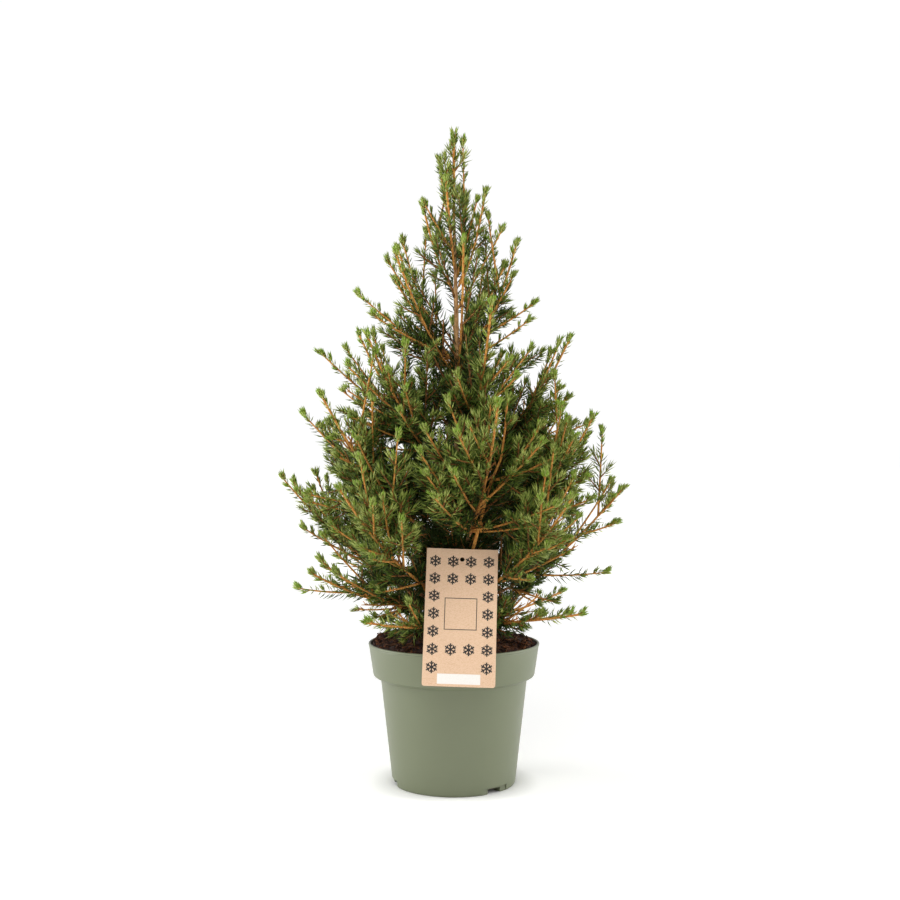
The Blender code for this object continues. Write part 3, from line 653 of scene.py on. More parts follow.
# Kraft board, uncoated: matt and warm, with short paler and darker fibres.
kraft = mottled_finish(
    "kraft_board_uncoated", KRAFT, KRAFT_FLECK, roughness=0.85, size=0.0016, detail=4.0, scatter=0.7,
    edges=(0.45, 0.75), bumps=(0.15, 0.0001), stretch=2.5,
)
card = place_piece("label_card", shape_mesh("card", shape), kraft)
shape = bmesh.new()
drop = Matrix.Translation((0.0, LABEL_LENGTH - HOLE_DROP, 0.0))
bmesh.ops.create_cone(
    shape, cap_ends=True, segments=24, radius1=HOLE_RADIUS, radius2=HOLE_RADIUS, depth=0.01,
    matrix=drop,
)
cut_away(card, [place_piece("cutter", shape_mesh("cutter", shape))])
bend_card(card.data)
seat(card, "card_label", "label")


def printed_ink(name, code, shade):
    """Offset ink on kraft board: a thin matt film, a little uneven where the fibres drink it."""
    made, tree, shader = start_material(name, {"Roughness": 0.6})
    spots = add_node(tree, "ShaderNodeTexCoord", {})
    uneven = add_node(
        tree,
        "ShaderNodeTexNoise",
        {"Vector": spots.outputs["Object"], "Scale": 1 / 0.0012, "Detail": 2.0},
    )
    tone = add_node(
        tree,
        "ShaderNodeMix",
        {0: uneven.outputs["Fac"], 6: linear(code), 7: linear(shade)},
        data_type="RGBA",
    )
    tree.links.new(tone.outputs[2], shader.inputs["Base Color"])
    return made


ink_height = LABEL_BOARD / 2 + INK / 2 + INK_LIFT
shape = bmesh.new()
for row in CRYSTAL_ROWS:
    for column in CRYSTAL_COLUMNS:
        in_way = abs(row - FRAME_MIDDLE) <= FRAME_ROOM or row <= PANEL_ROOM
        if in_way and abs(column) <= INNER_REACH:
            continue
        for arm in range(6):
            angle = math.pi / 6 + arm * math.pi / 3
            out = Vector((math.cos(angle), math.sin(angle), 0.0))
            middle = Vector((column, row, 0.0))
            add_bar(shape, middle, middle + out * CRYSTAL_ARM, CRYSTAL_LINES[0], ink_height)
            fork_at, barb_length, barb_turn = CRYSTAL_BARB
            fork = middle + out * CRYSTAL_ARM * fork_at
            for turned in (angle - barb_turn, angle + barb_turn):
                barb = Vector((math.cos(turned), math.sin(turned), 0.0))
                end = fork + barb * CRYSTAL_ARM * barb_length
                add_bar(shape, fork, end, CRYSTAL_LINES[1], ink_height)
half_frame = FRAME_SIDE / 2
frame_corners = [
    Vector((half_frame * x, FRAME_MIDDLE + half_frame * y, 0.0))
    for x, y in ((-1, -1), (1, -1), (1, 1), (-1, 1), (-1, -1))
]
for start, end in zip(frame_corners, frame_corners[1:]):
    along = (end - start).normalized() * FRAME_LINE / 2
    for part in range(FRAME_PARTS):
        first, second = (start.lerp(end, at / FRAME_PARTS) for at in (part, part + 1))
        add_bar(shape, first - along, second + along, FRAME_LINE, ink_height)
mesh = shape_mesh("print", shape)
bend_card(mesh)
ink = printed_ink("offset_ink_black", "#1E1A18", "#2E2723")
seat(place_piece("label_print", mesh, ink), "card_label", "label")

shape = bmesh.new()
bmesh.ops.create_grid(shape, x_segments=12, y_segments=4, size=0.5)
bmesh.ops.scale(shape, verts=shape.verts, vec=(PANEL[0], PANEL[1], 1.0))
bmesh.ops.solidify(shape, geom=shape.faces[:], thickness=INK)
middle_height = sum(v.co.z for v in shape.verts) / len(shape.verts)
lift = ink_height - middle_height
bmesh.ops.translate(shape, verts=shape.verts, vec=(0.0, PANEL[2], lift))
bmesh.ops.recalc_face_normals(shape, faces=shape.faces)
mesh = shape_mesh("panel", shape)
bend_card(mesh)
white_ink = printed_ink("offset_ink_white", "#F4F1EC", "#E9E3DA")
seat(place_piece("label_panel", mesh, white_ink), "card_label", "label")


# ---------------------------------------------------------------- trunk and boughs
# A woody stem with thin scaly bark and a root flare. Its boughs leave it in whorls, each from a
# small collar, nearly level low down and steeper higher up, and turn upwards along their length.
TREE_TOP = 0.6535
TRUNK_FLARE_RADIUS = 0.0105
TRUNK_FOOT_RADIUS = 0.0062
TRUNK_TIP_RADIUS = 0.0012
TRUNK_TIP_HEIGHT = 0.562
TRUNK_SWAY = 0.0035
TRUNK_SIDES = 26
TRUNK_RINGS = 170
TRUNK_SINK = 0.004  # how far the trunk's foot runs on into the bed
BOUGH_SIDES = 9
BOUGH_RING = 0.0035  # distance between a bough's rings
BOUGH_SINK = 0.004  # how far a bough's root runs on into the trunk
COLLAR_SWELL = 0.7  # how much thicker a bough is in its collar
COLLAR_LENGTH = 0.005
TRUNK_BARK = (0.00045, 0.0035)  # relief of the bark, and size of its plates
BOUGH_BARK = (0.00018, 0.0022)
SEED = 11
LONGEST_SHOOT = 0.080
# Whorls from the soil up: number of boughs, first bearing, height on the trunk, slope at the trunk
# in degrees, reach of the tips from the axis, height of the tips, and the longest side shoot.
WHORLS = (
    ("skirt", 5, 62, 0.160, 4, 0.148, 0.190, 0.062),
    ("wide", 6, 28, 0.178, 14, 0.171, 0.292, LONGEST_SHOOT),
    ("middle", 6, 68, 0.226, 22, 0.150, 0.364, LONGEST_SHOOT),
    ("upper", 5, 92, 0.300, 34, 0.119, 0.446, 0.070),
    ("shoulder", 5, 88, 0.408, 42, 0.066, 0.521, 0.060),
    ("spire", 4, 75, 0.500, 48, 0.032, 0.582, 0.036),
)
LEADER_SHOOT = 0.026
LIMBED_WHORLS = ("skirt", "wide", "middle", "upper")
BEARING_JITTER = 9
HEIGHT_JITTER = 0.010
REACH_JITTER = 0.06
KNEE = 0.58
LIMB_SHARE = 0.25
LIMB_RADIUS_PER_METRE = 0.0095
LIMB_LEAST_RADIUS = 0.0011
SHOOT_TIP_RADIUS = 0.0007
LINE_POINTS = 8
SWERVE = 0.06
TAPER_POWER = 0.85
FACET_ROOM = 0.0005
CLEARANCE = 0.0003
BUTT = 0.002
LABEL_GAP = (29, 37)


def between(low, high, share):
    return low + (high - low) * share


def trunk_share(height):
    return (height - SOIL_EDGE_HEIGHT) / (TRUNK_TIP_HEIGHT - SOIL_EDGE_HEIGHT)


def trunk_centre(height):
    return Vector((TRUNK_SWAY * math.sin(math.pi * trunk_share(height)), 0.0, height))


def trunk_radius(height):
    share = np.maximum(0.0, trunk_share(height))
    plain = between(TRUNK_FOOT_RADIUS, TRUNK_TIP_RADIUS, share**0.8)
    flare = (TRUNK_FLARE_RADIUS - TRUNK_FOOT_RADIUS) * np.exp(-share * 34)
    return plain + flare


class Bough:
    """One bough's centre line, from the trunk's bark to the tip of its leading shoot."""

    def __init__(self, whorl, name, line, radii, limb_points, longest_shoot):
        self.whorl = whorl
        self.name = name
        self.line = line
        self.radii = radii
        self.limb_points = limb_points
        self.longest_shoot = longest_shoot


def clear_of_label(bearing):
    """A low bough that would grow into the label passes beside it."""
    turned_to_front = (bearing + 180) % 360 - 180
    left, right = LABEL_GAP
    if -left < turned_to_front < right:
        return -left if turned_to_front < (right - left) / 2 else right
    return bearing


def curve_point(start, knee, tip, share):
    return start.lerp(knee, share).lerp(knee.lerp(tip, share), share)


def plan_bough(whorl, name, rng, bearing, height, slope, reach, tip_height, longest_shoot):
    out = bearing_vector(bearing)
    rise = math.radians(slope)
    knee_reach = reach * KNEE
    length_guess = math.hypot(reach, tip_height - height)
    butt_radius = max(LIMB_LEAST_RADIUS, LIMB_RADIUS_PER_METRE * length_guess)
    bark = trunk_radius(height) + CLEARANCE + butt_radius * math.sin(rise) + FACET_ROOM / 2
    start = trunk_centre(height) + out * bark
    knee = trunk_centre(height) + out * knee_reach + Vector((0, 0, knee_reach * math.tan(rise)))
    sideways = Vector((-out.y, out.x, 0.0)) * rng.uniform(-SWERVE, SWERVE) * reach
    tip = out * reach + Vector((0.0, 0.0, tip_height)) + sideways
    shares = [step / (LINE_POINTS - 1) for step in range(LINE_POINTS)]
    line = [curve_point(start, knee, tip, share) for share in shares]
    radii = [between(butt_radius, SHOOT_TIP_RADIUS, share**TAPER_POWER) for share in shares]
    limb_points = round(LIMB_SHARE * (LINE_POINTS - 1)) + 1 if whorl in LIMBED_WHORLS else 0
    return Bough(whorl, name, line, radii, limb_points, longest_shoot)


def plan_boughs():
    """Every bough of every whorl, and last the leader that carries the trunk on to the top."""
    boughs = []
    for whorl, count, first, height, slope, reach, tip_height, longest_shoot in WHORLS:
        for index in range(count):
            rng = random.Random(SEED * 1000 + len(boughs))
            bearing = first + 360 * index / count + rng.uniform(-BEARING_JITTER, BEARING_JITTER)
            if whorl in ("skirt", "wide"):
                bearing = clear_of_label(bearing)
            lift = rng.uniform(-HEIGHT_JITTER, HEIGHT_JITTER)
            boughs.append(
                plan_bough(
                    whorl, f"{whorl}_{index + 1}", rng, bearing, height + lift, slope,
                    reach * (1 + rng.uniform(-REACH_JITTER, REACH_JITTER)),
                    tip_height + lift + rng.uniform(-HEIGHT_JITTER, HEIGHT_JITTER), longest_shoot,
                )
            )
    foot = trunk_centre(TRUNK_TIP_HEIGHT) + Vector((0.0, 0.0, CLEARANCE))
    top = Vector((0.0, 0.0, TREE_TOP))
    line = [foot.lerp(top, step / 4) for step in range(5)]
    radii = [between(TRUNK_TIP_RADIUS, SHOOT_TIP_RADIUS, step / 4) for step in range(5)]
    return boughs + [Bough("leader", "leader", line, radii, 0, LEADER_SHOOT)]


def limb_parts(bough):
    """Points and radii of the bare limb and of the mass's stem. They meet square to each other."""
    split = bough.limb_points - 1
    if split < 1:
        return None, (bough.line, bough.radii)
    joint = bough.line[split]
    along = (bough.line[split + 1] - bough.line[split - 1]).normalized()
    limb = bough.line[:split] + [joint - along * BUTT, joint]
    limb_radii = bough.radii[:split] + [bough.radii[split]] * 2
    clear = joint + along * CLEARANCE
    stem = [clear, clear + along * BUTT] + bough.line[split + 1 :]
    stem_radii = [bough.radii[split]] * 2 + bough.radii[split + 1 :]
    return (limb, limb_radii), (stem, stem_radii)


def line_length(points):
    return sum((second - first).length for first, second in zip(points, points[1:]))


def line_at(points, distance):
    """The point at a distance along a line, and the line's direction there."""
    for first, second in zip(points, points[1:]):
        run = (second - first).length
        if distance <= run:
            return first.lerp(second, distance / run), (second - first).normalized()
        distance -= run
    return points[-1], (points[-1] - points[-2]).normalized()


def grow_limb(shape, line, radii, sides):
    """A round limb, extruded ring by ring along a line."""
    heading = (line[1] - line[0]).normalized()
    turn = heading.to_track_quat("Z", "Y").to_matrix().to_4x4()
    place = Matrix.Translation(line[0]) @ turn
    made = bmesh.ops.create_circle(
        shape, segments=sides, radius=radii[0], cap_ends=True, matrix=place
    )
    ring = list({edge for corner in made["verts"] for edge in corner.link_edges})
    for at in range(1, len(line)):
        corners, ring = extrude(shape, ring)
        ahead = (line[min(at + 1, len(line) - 1)] - line[at - 1]).normalized()
        swing = heading.rotation_difference(ahead)
        for corner in corners:
            spoke = (corner.co - line[at - 1]) * (radii[at] / radii[at - 1])
            corner.co = line[at] + swing @ spoke
        heading = ahead
    bmesh.ops.contextual_create(shape, geom=ring)


def raise_bark(shape, relief, plate):
    """Moves corners in and out along their normals: long plates of bark with finer scales on them."""
    shape.normal_update()
    for corner in shape.verts:
        spot = Vector((corner.co.x, corner.co.y, corner.co.z * 0.45)) / plate
        scales = noise.fractal(spot, 0.9, 2.1, 4) + 0.5 * noise.noise(spot * 0.3)
        corner.co += corner.normal * relief * scales


def bark_finish(name, furrow, plate, grain, relief):
    """Thin conifer bark: matt plates with darker furrows between them, run along the limb."""
    return mottled_finish(
        name, furrow, plate, roughness=0.85, size=grain, detail=5.0, scatter=0.65,
        edges=(0.38, 0.62), bumps=(0.5, relief), stretch=0.4,
    )


trunk_foot = soil_height(0.0, 0.0) - TRUNK_SINK
heights = [
    between(trunk_foot, TRUNK_TIP_HEIGHT, step / TRUNK_RINGS) for step in range(TRUNK_RINGS + 1)
]
shape = bmesh.new()
grow_limb(shape, [trunk_centre(h) for h in heights], [trunk_radius(h) for h in heights], TRUNK_SIDES)
raise_bark(shape, *TRUNK_BARK)
bmesh.ops.recalc_face_normals(shape, faces=shape.faces)
trunk_bark = bark_finish("bark_scaly_tan", "#7C522B", "#CCA06A", 0.0030, 0.0004)
trunk = place_piece("trunk_bark", shape_mesh("trunk_bark", shape), trunk_bark)
trunk.data.shade_smooth()
seat(trunk, "trunk_bark", "trunk")

boughs = plan_boughs()
bough_bark = bark_finish("bark_thin_orange_brown", "#6B4326", "#B07C4C", 0.0022, 0.0003)
for whorl in LIMBED_WHORLS:
    shape = bmesh.new()
    names = []
    for bough in boughs:
        if bough.whorl != whorl:
            continue
        (limb, limb_radii), _ = limb_parts(bough)
        heading = (limb[1] - limb[0]).normalized()
        total = line_length(limb)
        steps = max(4, round((total + BOUGH_SINK) / BOUGH_RING))
        line, radii = [], []
        for step in range(steps + 1):
            place = (total + BOUGH_SINK) * step / steps - BOUGH_SINK
            if place < 0:
                line.append(limb[0] + heading * place)
            else:
                line.append(line_at(limb, place)[0])
            plain = between(limb_radii[0], limb_radii[-1], max(0.0, place) / total)
            radii.append(plain * (1 + COLLAR_SWELL * math.exp(-max(0.0, place) / COLLAR_LENGTH)))
        grow_limb(shape, line, radii, BOUGH_SIDES)
        names.append(f"bough_{bough.name}")
    raise_bark(shape, *BOUGH_BARK)
    bmesh.ops.recalc_face_normals(shape, faces=shape.faces)
    limbs = place_piece(f"boughs_{whorl}", shape_mesh("limbs", shape), bough_bark)
    limbs.data.shade_smooth()
    seat(limbs, "twig_bark", *names)


# ---------------------------------------------------------------- shoots
# Each bough ends in a spray of thin straight orange-brown shoots, set in a spiral round it, with
# finer ones in two rows on those. The longest stand out of the crown and end in a tuft of buds.
SPRAY_WIDTH = 0.034
SPRAY_WIDTH_SHARE = 0.5
SPRAY_SHORTEST = 0.020
SPRAY_TRIES = (1.0, 0.85, 0.7, 0.55)
SPRAY_TURNS = (0.0, 1.2, -1.2)
SPRAY_LEAN = 44
SPRAY_PITCH = 0.0225
SPRAY_TAPER = 0.75
BARE_END = 0.028
TEETH = 3
TOOTH_FALL = 0.75
NOTCH = 0.5
TOOTH_LEAN = 0.21
GOLDEN_ANGLE = math.radians(137.5)
SPACE_MARGIN = 0.0016
WOOD_MARGIN = 0.0020
SOIL_MARGIN = 0.003
RIM_MARGIN = 0.006
RIM_TOP_MARGIN = 0.002
DROOP_LIMIT = 0.010
LABEL_MARGIN = 0.003

FINE_PER_SPRAY = 2  # finer side shoots between two of the main ones
FINE_LEAN = 40  # degrees
FINE_SHARE = (0.55, 0.95)
SHOOT_LIFT = 0.35  # how much a side shoot turns up on its way
SHORTEST_SHOOT = 0.007
CUT_SPOTS = 12  # spots along a shoot at which its room is tested, from the root outwards:
FREE_SPOTS = 3  # the first ones are always free
CUT_MARGINS = (0.0015, 0.004)  # to wood, and to the pot, soil and label beyond their own margins
SUB_PITCH = 0.0120  # between the finer shoots on a side or outer shoot, low down
SUB_PARENTS = ("side", "outer")
SUB_LEAN = 42
SUB_LONGEST = 0.030
SUB_SHORTEST = 0.011
SUB_TAPER = 0.45
LEAN_SCATTER = 5.0  # degrees
HIGH_SUB_SHARE = 0.42  # of their length low down, that the finer shoots reach near the top
# The crown's outside, as heights and reaches from the axis.
CROWN_OUTLINE = (
    (0.145, 0.000), (0.153, 0.075), (0.165, 0.098), (0.180, 0.125), (0.196, 0.150), (0.225, 0.150),
    (0.258, 0.160), (0.295, 0.168), (0.355, 0.148), (0.384, 0.128), (0.430, 0.116), (0.480, 0.086),
    (0.520, 0.058), (0.550, 0.044), (0.580, 0.027), (0.620, 0.014), (0.650, 0.007),
)
# The same for its lower rim, which only the longest side shoots and the lowest twigs go past.
LOW_OUTLINE = (
    (0.145, 0.000), (0.165, 0.070), (0.180, 0.084), (0.196, 0.098), (0.212, 0.110), (0.228, 0.122),
    (0.245, 0.138), (0.262, 0.160), (0.263, 1.000),
)
# Openings into the crown's front: place, half width and half height, and the depth at which they
# end, in mm. The first shows the trunk, and the others a bough that forks above the label.
FRONT_OPENINGS = (
    (4, 480, 5, 52, 0),
    (21, 243, 5, 13, -45),
    (28, 268, 5, 14, -70),
    (36, 295, 6, 13, -88),
    (44, 316, 6, 10, -95),
    (50, 338, 5, 12, -99),
)
# Openings through the crown, as seen from in front: place, half width and half height, in mm.
OPENINGS = (
    (41, 444, 4, 5), (31, 430, 4, 2.5), (-11, 466, 5, 5), (-8, 437, 4, 6), (-8, 422, 3, 5),
    (38, 388, 4, 3), (43, 409, 3, 3), (70, 376, 4, 6), (99, 350, 5, 6), (80, 398, 4, 7),
    (19, 357, 4, 3), (-46, 368, 6, 4.5), (-72, 391, 3.5, 4.5), (-58, 383, 2.5, 3.5),
    (-83, 374, 5, 3.5), (-83, 359, 4, 4.5), (-105, 384, 4, 6), (-105, 337, 6, 7),
    (-55, 332, 5, 4), (-62, 421, 6, 5), (-98, 317, 4, 4),
    (-52, 219, 10, 5), (-46, 228, 5, 3), (-102, 227, 5, 5), (-98, 217, 4, 5), (-102, 208, 4, 7),
    (-64, 193, 5, 3.5), (-90, 175, 5, 5), (-62, 173, 5, 5), (-76, 171, 4, 3.5), (-89, 213, 3, 3),
    (-39, 197, 3, 4), (-74, 236, 3, 4), (-51, 163, 6, 4), (-118, 233, 5, 4), (100, 258, 7, 4),
    (129, 260, 6, 4), (121, 236, 8, 4), (139, 268, 8, 7), (47, 231, 4, 4), (77, 210, 4, 2.5),
    (70, 175, 10, 8), (79, 183, 7, 4), (58, 162, 11, 4), (82, 158, 9, 4), (126, 227, 6, 4),
    (90, 299, 3, 3), (104, 222, 4, 3),
)
# Long shoots that end the crown on its left and right, as reaches and heights in millimetres.
SIDE_TIPS = (
    (-15, 619), (9, 635), (-29, 575), (23, 579), (34, 563), (48, 550), (-51, 537), (-66, 519),
    (51, 514), (-94, 484), (80, 476), (-66, 460), (-131, 425), (-108, 431), (104, 435),
    (-149, 366), (-123, 356), (113, 381), (132, 356), (150, 348), (-168, 302), (156, 297),
    (167, 290), (-149, 253), (-128, 214), (-153, 194), (-94, 171), (163, 256), (151, 208),
    (102, 178), (113, 168),
)
INNER_SHARE = (0.83, 0.60)  # how far out the short shoots grow, low down and high up
OUTLINE_SLACK = 0.004
OUTER_SPACING = (0.030, 0.046)  # between neighbouring tips, low down and high up
INNER_LAYER = (0.72, 0.034)  # how far out a second layer of shoots ends, and its spacing
OUTER_LEAN = 30  # degrees between an outer shoot and the stem that it leaves
OUTER_LENGTH = (0.028, 0.080, 0.125)  # least, best and greatest
OUTER_FALL_SHORT = 0.11
MOST_FALL_SHORT = 0.4
HEIGHT_SCATTER = 0.006
BEARING_SCATTER = 4.0  # degrees
# What keeps a stem's spot from being an outer shoot's root: each counts for one.
LEAN_COST = 10  # degrees off the best lean
LENGTH_COST = 0.03  # off the best length
NO_ROOT = 100  # for a spot that is too near or too far
OUTER_SAG = 0.05  # of its length, that an outer shoot bows down on its way
FREE_END = (0.030, 0.062)  # the part of an outer shoot with few needles, low down and high up
LOW_AND_HIGH = (0.36, 0.47)  # heights between which the open top begins
LEADER_SHOWS_ABOVE = 0.425  # in front, where fewer shoots hide the stem
CORE_PITCH = 0.0058  # height between the twigs that leave the trunk itself
CORE_LENGTH = 0.072
CORE_FOOT = 0.185
CORE_TOP = 0.390
# How far out each kind of shoot may go, as shares of the outline.
SIDE_TIP_SHARE = 2.0
OUTER_SHARE = 1.15
SUB_SHARE = 0.96
CORE_SHARE = 0.7
FRONT_SHARE = 1.0
LOW_SHARE = 5.0
CROSSING = 0.03  # how far a shoot may go into a neighbour's space
SUB_CROSSING = 0.004
# Where further twigs from the trunk end, that show above the label, in millimetres.
FRONT_TIPS = (
    (-34, -32, 252), (-25, -40, 249), (-16, -34, 247), (-8, -44, 252), (2, -40, 244),
    (20, -44, 248), (28, -36, 246), (37, -30, 252),
)
FRONT_ROOT = 0.206
# Where twigs from the trunk's foot end, that hang over the root ball, in millimetres.
LOW_TIPS = (
    (-58, -36, 152), (-47, -53, 149), (-38, -62, 149), (-62, -12, 154),
    (50, -44, 154), (64, -22, 154), (70, -4, 154), (72, 20, 157),
)
LOW_ROOT = 0.172
# A bough that rises in front from behind the label, and forks, in millimetres.
FRONT_BOUGH = (
    ((3, -2, 196), (13, -30, 215), (19, -40, 236), (27, -66, 272), (34.5, -84, 302),
     (42, -91, 315), (46, -95, 337), (49, -96, 376)),
    ((34.5, -84, 302), (50, -91, 304), (72, -95, 313), (95, -97, 324)),
)
FRONT_BOUGH_RADII = ((0.0022, 0.0009), (0.0015, 0.0008))
FILL_SHARES = (0.14, 0.24, 0.35, 0.5, 0.62, 0.74, 0.86)  # how far out gaps are filled
FILL_SPACING = 0.026
FILL_GAP = 0.019  # a gap this far from any shoot gets a twig of its own
FILL_TOP = 0.43
TIP_FINGERS = 4  # tiny shoots round the bud at an outer shoot's tip
LEADER_TUFT = 1.5  # how much bigger it is, and how many more shoots it has, at the leader's tip
LEADER_TIP_ABOVE = 0.638
LEADER_DROP = 0.013  # the leader's shoot ends this much lower, for its tuft and needles
LEADER_SWELL = 1.3
FINGER_PITCH = 0.0125
FINGER_LENGTH = (0.0040, 0.0072)
FINGER_LEAN = (34, 48)  # degrees
BUNCH_LEAN = (16, 34)  # the same in the bunch at the tip
BUNCH_REACH = (0.0005, 0.0055)  # how far back from the tip the bunch grows
SHOOT_STEPS = {"stem": 14, "side": 8, "outer": 9, "sub": 4, "finger": 2}
SHOOT_SIDES = {"stem": 7, "side": 5, "outer": 6, "sub": 4, "finger": 3}
STEM_LEAST_RADIUS = 0.0011
SHOOT_RADII = {
    "side": (0.0011, 0.0007),
    "outer": (0.0012, 0.0007),
    "sub": (0.0008, 0.0005),
    "finger": (0.0006, 0.0004),
}


def to_segments(points, starts, runs):
    """Distances from points to segments, as point by segment."""
    away = points[:, None, :] - starts[None]
    shares = np.clip((away * runs).sum(2) / (runs * runs).sum(1), 0.0, 1.0)
    return np.linalg.norm(away - shares[..., None] * runs, axis=2)


class Room:
    """Which points each bough's spray may fill: those nearer to its own bough than to any other,
    clear of the trunk, the limbs, the pot, the soil and the label."""

    def __init__(self, boughs):
        lines = [np.array(bough.line) for bough in boughs]
        self.starts = np.concatenate([line[:-1] for line in lines])
        self.runs = np.concatenate([line[1:] - line[:-1] for line in lines])
        self.firsts = np.cumsum([0] + [len(line) - 1 for line in lines[:-1]])
        self.limb_rows = [
            (first, first + bough.limb_points - 1, bough.radii[0])
            for first, bough in zip(self.firsts, boughs)
            if bough.limb_points
        ]
        self.to_card = np.array(label_matrix().inverted())

    def nearest(self, point):
        """The number of the bough whose line is nearest to a point."""
        away = to_segments(np.array([point]), self.starts, self.runs)
        return int(np.argmin(np.minimum.reduceat(away, self.firsts, axis=1)))

    def off_label(self, points, margin):
        """For each point, whether it is beside, above or behind the label by a margin."""
        card = points @ self.to_card[:3, :3].T + self.to_card[:3, 3]
        beside = np.abs(card[:, 0]) > LABEL_WIDTH / 2 + margin
        above = card[:, 1] > LABEL_LENGTH + margin
        return beside | above | (card[:, 2] <= -margin)

    def clear(self, owner, points, space=SPACE_MARGIN, wood=WOOD_MARGIN, other=0.0):
        """For each point, whether it is clear, with margins for its space, for wood and for the
        pot, soil and label on top of their own."""
        away = to_segments(points, self.starts, self.runs)
        nearest = np.minimum.reduceat(away, self.firsts, axis=1)
        own = nearest[:, owner]
        rivals = np.delete(nearest, owner, axis=1).min(1)
        clear = rivals - own >= 2 * space
        x, y, z = points.T
        height = np.minimum(z, TRUNK_TIP_HEIGHT)
        lean = TRUNK_SWAY * np.sin(np.pi * trunk_share(height))
        from_trunk = np.hypot(x - lean, y)
        clear &= (z >= TRUNK_TIP_HEIGHT) | (from_trunk >= trunk_radius(height) + wood)
        for first, last, radius in self.limb_rows:
            clear &= away[:, first:last].min(1) >= radius + wood
        radius = np.hypot(x, y)
        in_pot = (radius < RIM_RADIUS - RIM_MARGIN) & (z < soil_height(x, y) + SOIL_MARGIN + other)
        at_rim = np.abs(radius - RIM_RADIUS) < RIM_MARGIN + other
        at_rim &= z < RIM_HEIGHT + RIM_TOP_MARGIN + other
        beside_pot = (radius > RIM_RADIUS) & (z < RIM_HEIGHT - DROOP_LIMIT)
        clear &= ~(in_pot | at_rim | beside_pot)
        return clear & self.off_label(points, LABEL_MARGIN + other)


def spray_outline():
    """A spray one long and one wide: on each side of its core, teeth that lean forward."""
    pitch = (1.0 - TOOTH_LEAN) / TEETH
    side = []
    for tooth in range(TEETH):
        foot = tooth * pitch
        half = 0.5 * (1.0 - TOOTH_FALL * (tooth / TEETH) ** 2)
        side += [(half * NOTCH, foot), (half, foot + TOOTH_LEAN)]
    outline = side + [(0.0, 1.0)] + [(-x, y) for x, y in reversed(side)]
    return [(x, y) for x, y in outline if y > 0.2]


def spray_frame(root, heading, roll):
    """Axes with y along the spray, x across it and z out of its face, turned by roll about y."""
    side = heading.cross(Vector((0.0, 0.0, 1.0)))
    if side.length < 0.2:
        side = heading.cross(Vector((0.0, 1.0, 0.0)))
    side.normalize()
    turn = Matrix((side, heading, side.cross(heading))).transposed().to_4x4()
    return Matrix.Translation(root) @ turn @ Matrix.Rotation(roll, 4, "Y")


def fitting_spray(owner, place, spiral, longest):
    """The longest side shoot that finds room at a place on the stem, turned a little if need be."""
    root, along = place
    lean = math.radians(SPRAY_LEAN)
    for share in SPRAY_TRIES:
        for turn in SPRAY_TURNS:
            side = along.orthogonal().normalized()
            side.rotate(Matrix.Rotation(spiral + turn, 3, along))
            heading = (along * math.cos(lean) + side * math.sin(lean)).normalized()
            turned = spray_frame(root, heading, spiral)
            length = longest * share
            width = min(SPRAY_WIDTH, length * SPRAY_WIDTH_SHARE)
            edge = [turned @ Vector((x * width, y * length, 0.0)) for x, y in spray_outline()]
            if length > SPRAY_SHORTEST and room.clear(owner, np.array(edge)).all():
                return turned, length
    return None


class Shoot:
    """A shoot's centre line, and what its needles and its own side shoots need to know."""

    def __init__(self, owner, kind, line, face=None, free_end=0.0, radii=None):
        self.owner = owner
        self.kind = kind
        self.line = line
        self.face = face  # the normal of the plane in which its own side shoots lie
        self.free_end = free_end  # the length of its outer end, with few and short needles
        self.radii = np.linspace(*SHOOT_RADII[kind], len(line)) if radii is None else radii
        self.length = np.linalg.norm(np.diff(line, axis=0), axis=1).sum()


def shoot_line(root, heading, length, lift, steps):
    """A line that leaves in a heading and turns up towards the light."""
    shares = np.linspace(0.0, 1.0, steps)[1:, None]
    headings = unit(np.array(heading) + shares * np.array((0.0, 0.0, lift)))
    return np.concatenate(([root], root + np.cumsum(headings * length / (steps - 1), axis=0)))


def resample(points, steps):
    """The line again, with evenly spaced points."""
    points = np.array(points)
    places = np.concatenate(([0.0], np.cumsum(np.linalg.norm(np.diff(points, axis=0), axis=1))))
    wanted = np.linspace(0.0, places[-1], steps)
    return np.stack([np.interp(wanted, places, points[:, axis]) for axis in range(3)], axis=1)


def outline_reach(heights):
    return np.interp(heights, outline_heights, outline_reaches)


def low_reach(heights):
    return np.interp(heights, *np.array(LOW_OUTLINE).T)


def by_height(height, low_and_high):
    """A size that goes from one value low down to another near the top."""
    return np.interp(height, LOW_AND_HIGH, low_and_high)


def in_opening(points, front_only=False):
    """For each point, whether it would stand in an opening, seen from the camera's place."""
    eye = np.array(CAMERA_PLACE)
    away = points - eye
    seen = (eye + away * (-eye[1] / away[:, 1:2]))[:, None, ::2]
    inside = np.linalg.norm((seen - opening_places) / opening_sizes, axis=2) < 1.0
    in_front = inside[:, : len(front_ends)]
    in_front &= points[:, 1:2] < front_ends
    return (in_front if front_only else inside).any(1)


def cut_to_room(line, owner, share, space=0.0, long=False):
    """The line as far as it finds room within a share of the outline, or None if that is too
    short. Its root is always free, and a long shoot may cross most openings."""
    fine = resample(line, CUT_SPOTS)
    tested = fine[FREE_SPOTS:]
    clear = room.clear(owner, tested, space, *CUT_MARGINS)
    clear &= ~in_opening(tested, front_only=long)
    outline = np.minimum(outline_reach(tested[:, 2]), low_reach(tested[:, 2])) * share
    clear &= np.hypot(tested[:, 0], tested[:, 1]) <= outline + OUTLINE_SLACK
    if clear.all():
        return line
    kept = FREE_SPOTS + int(np.argmin(clear))
    length = np.linalg.norm(np.diff(fine[:kept], axis=0), axis=1).sum()
    return resample(fine[:kept], len(line)) if length > SHORTEST_SHOOT else None


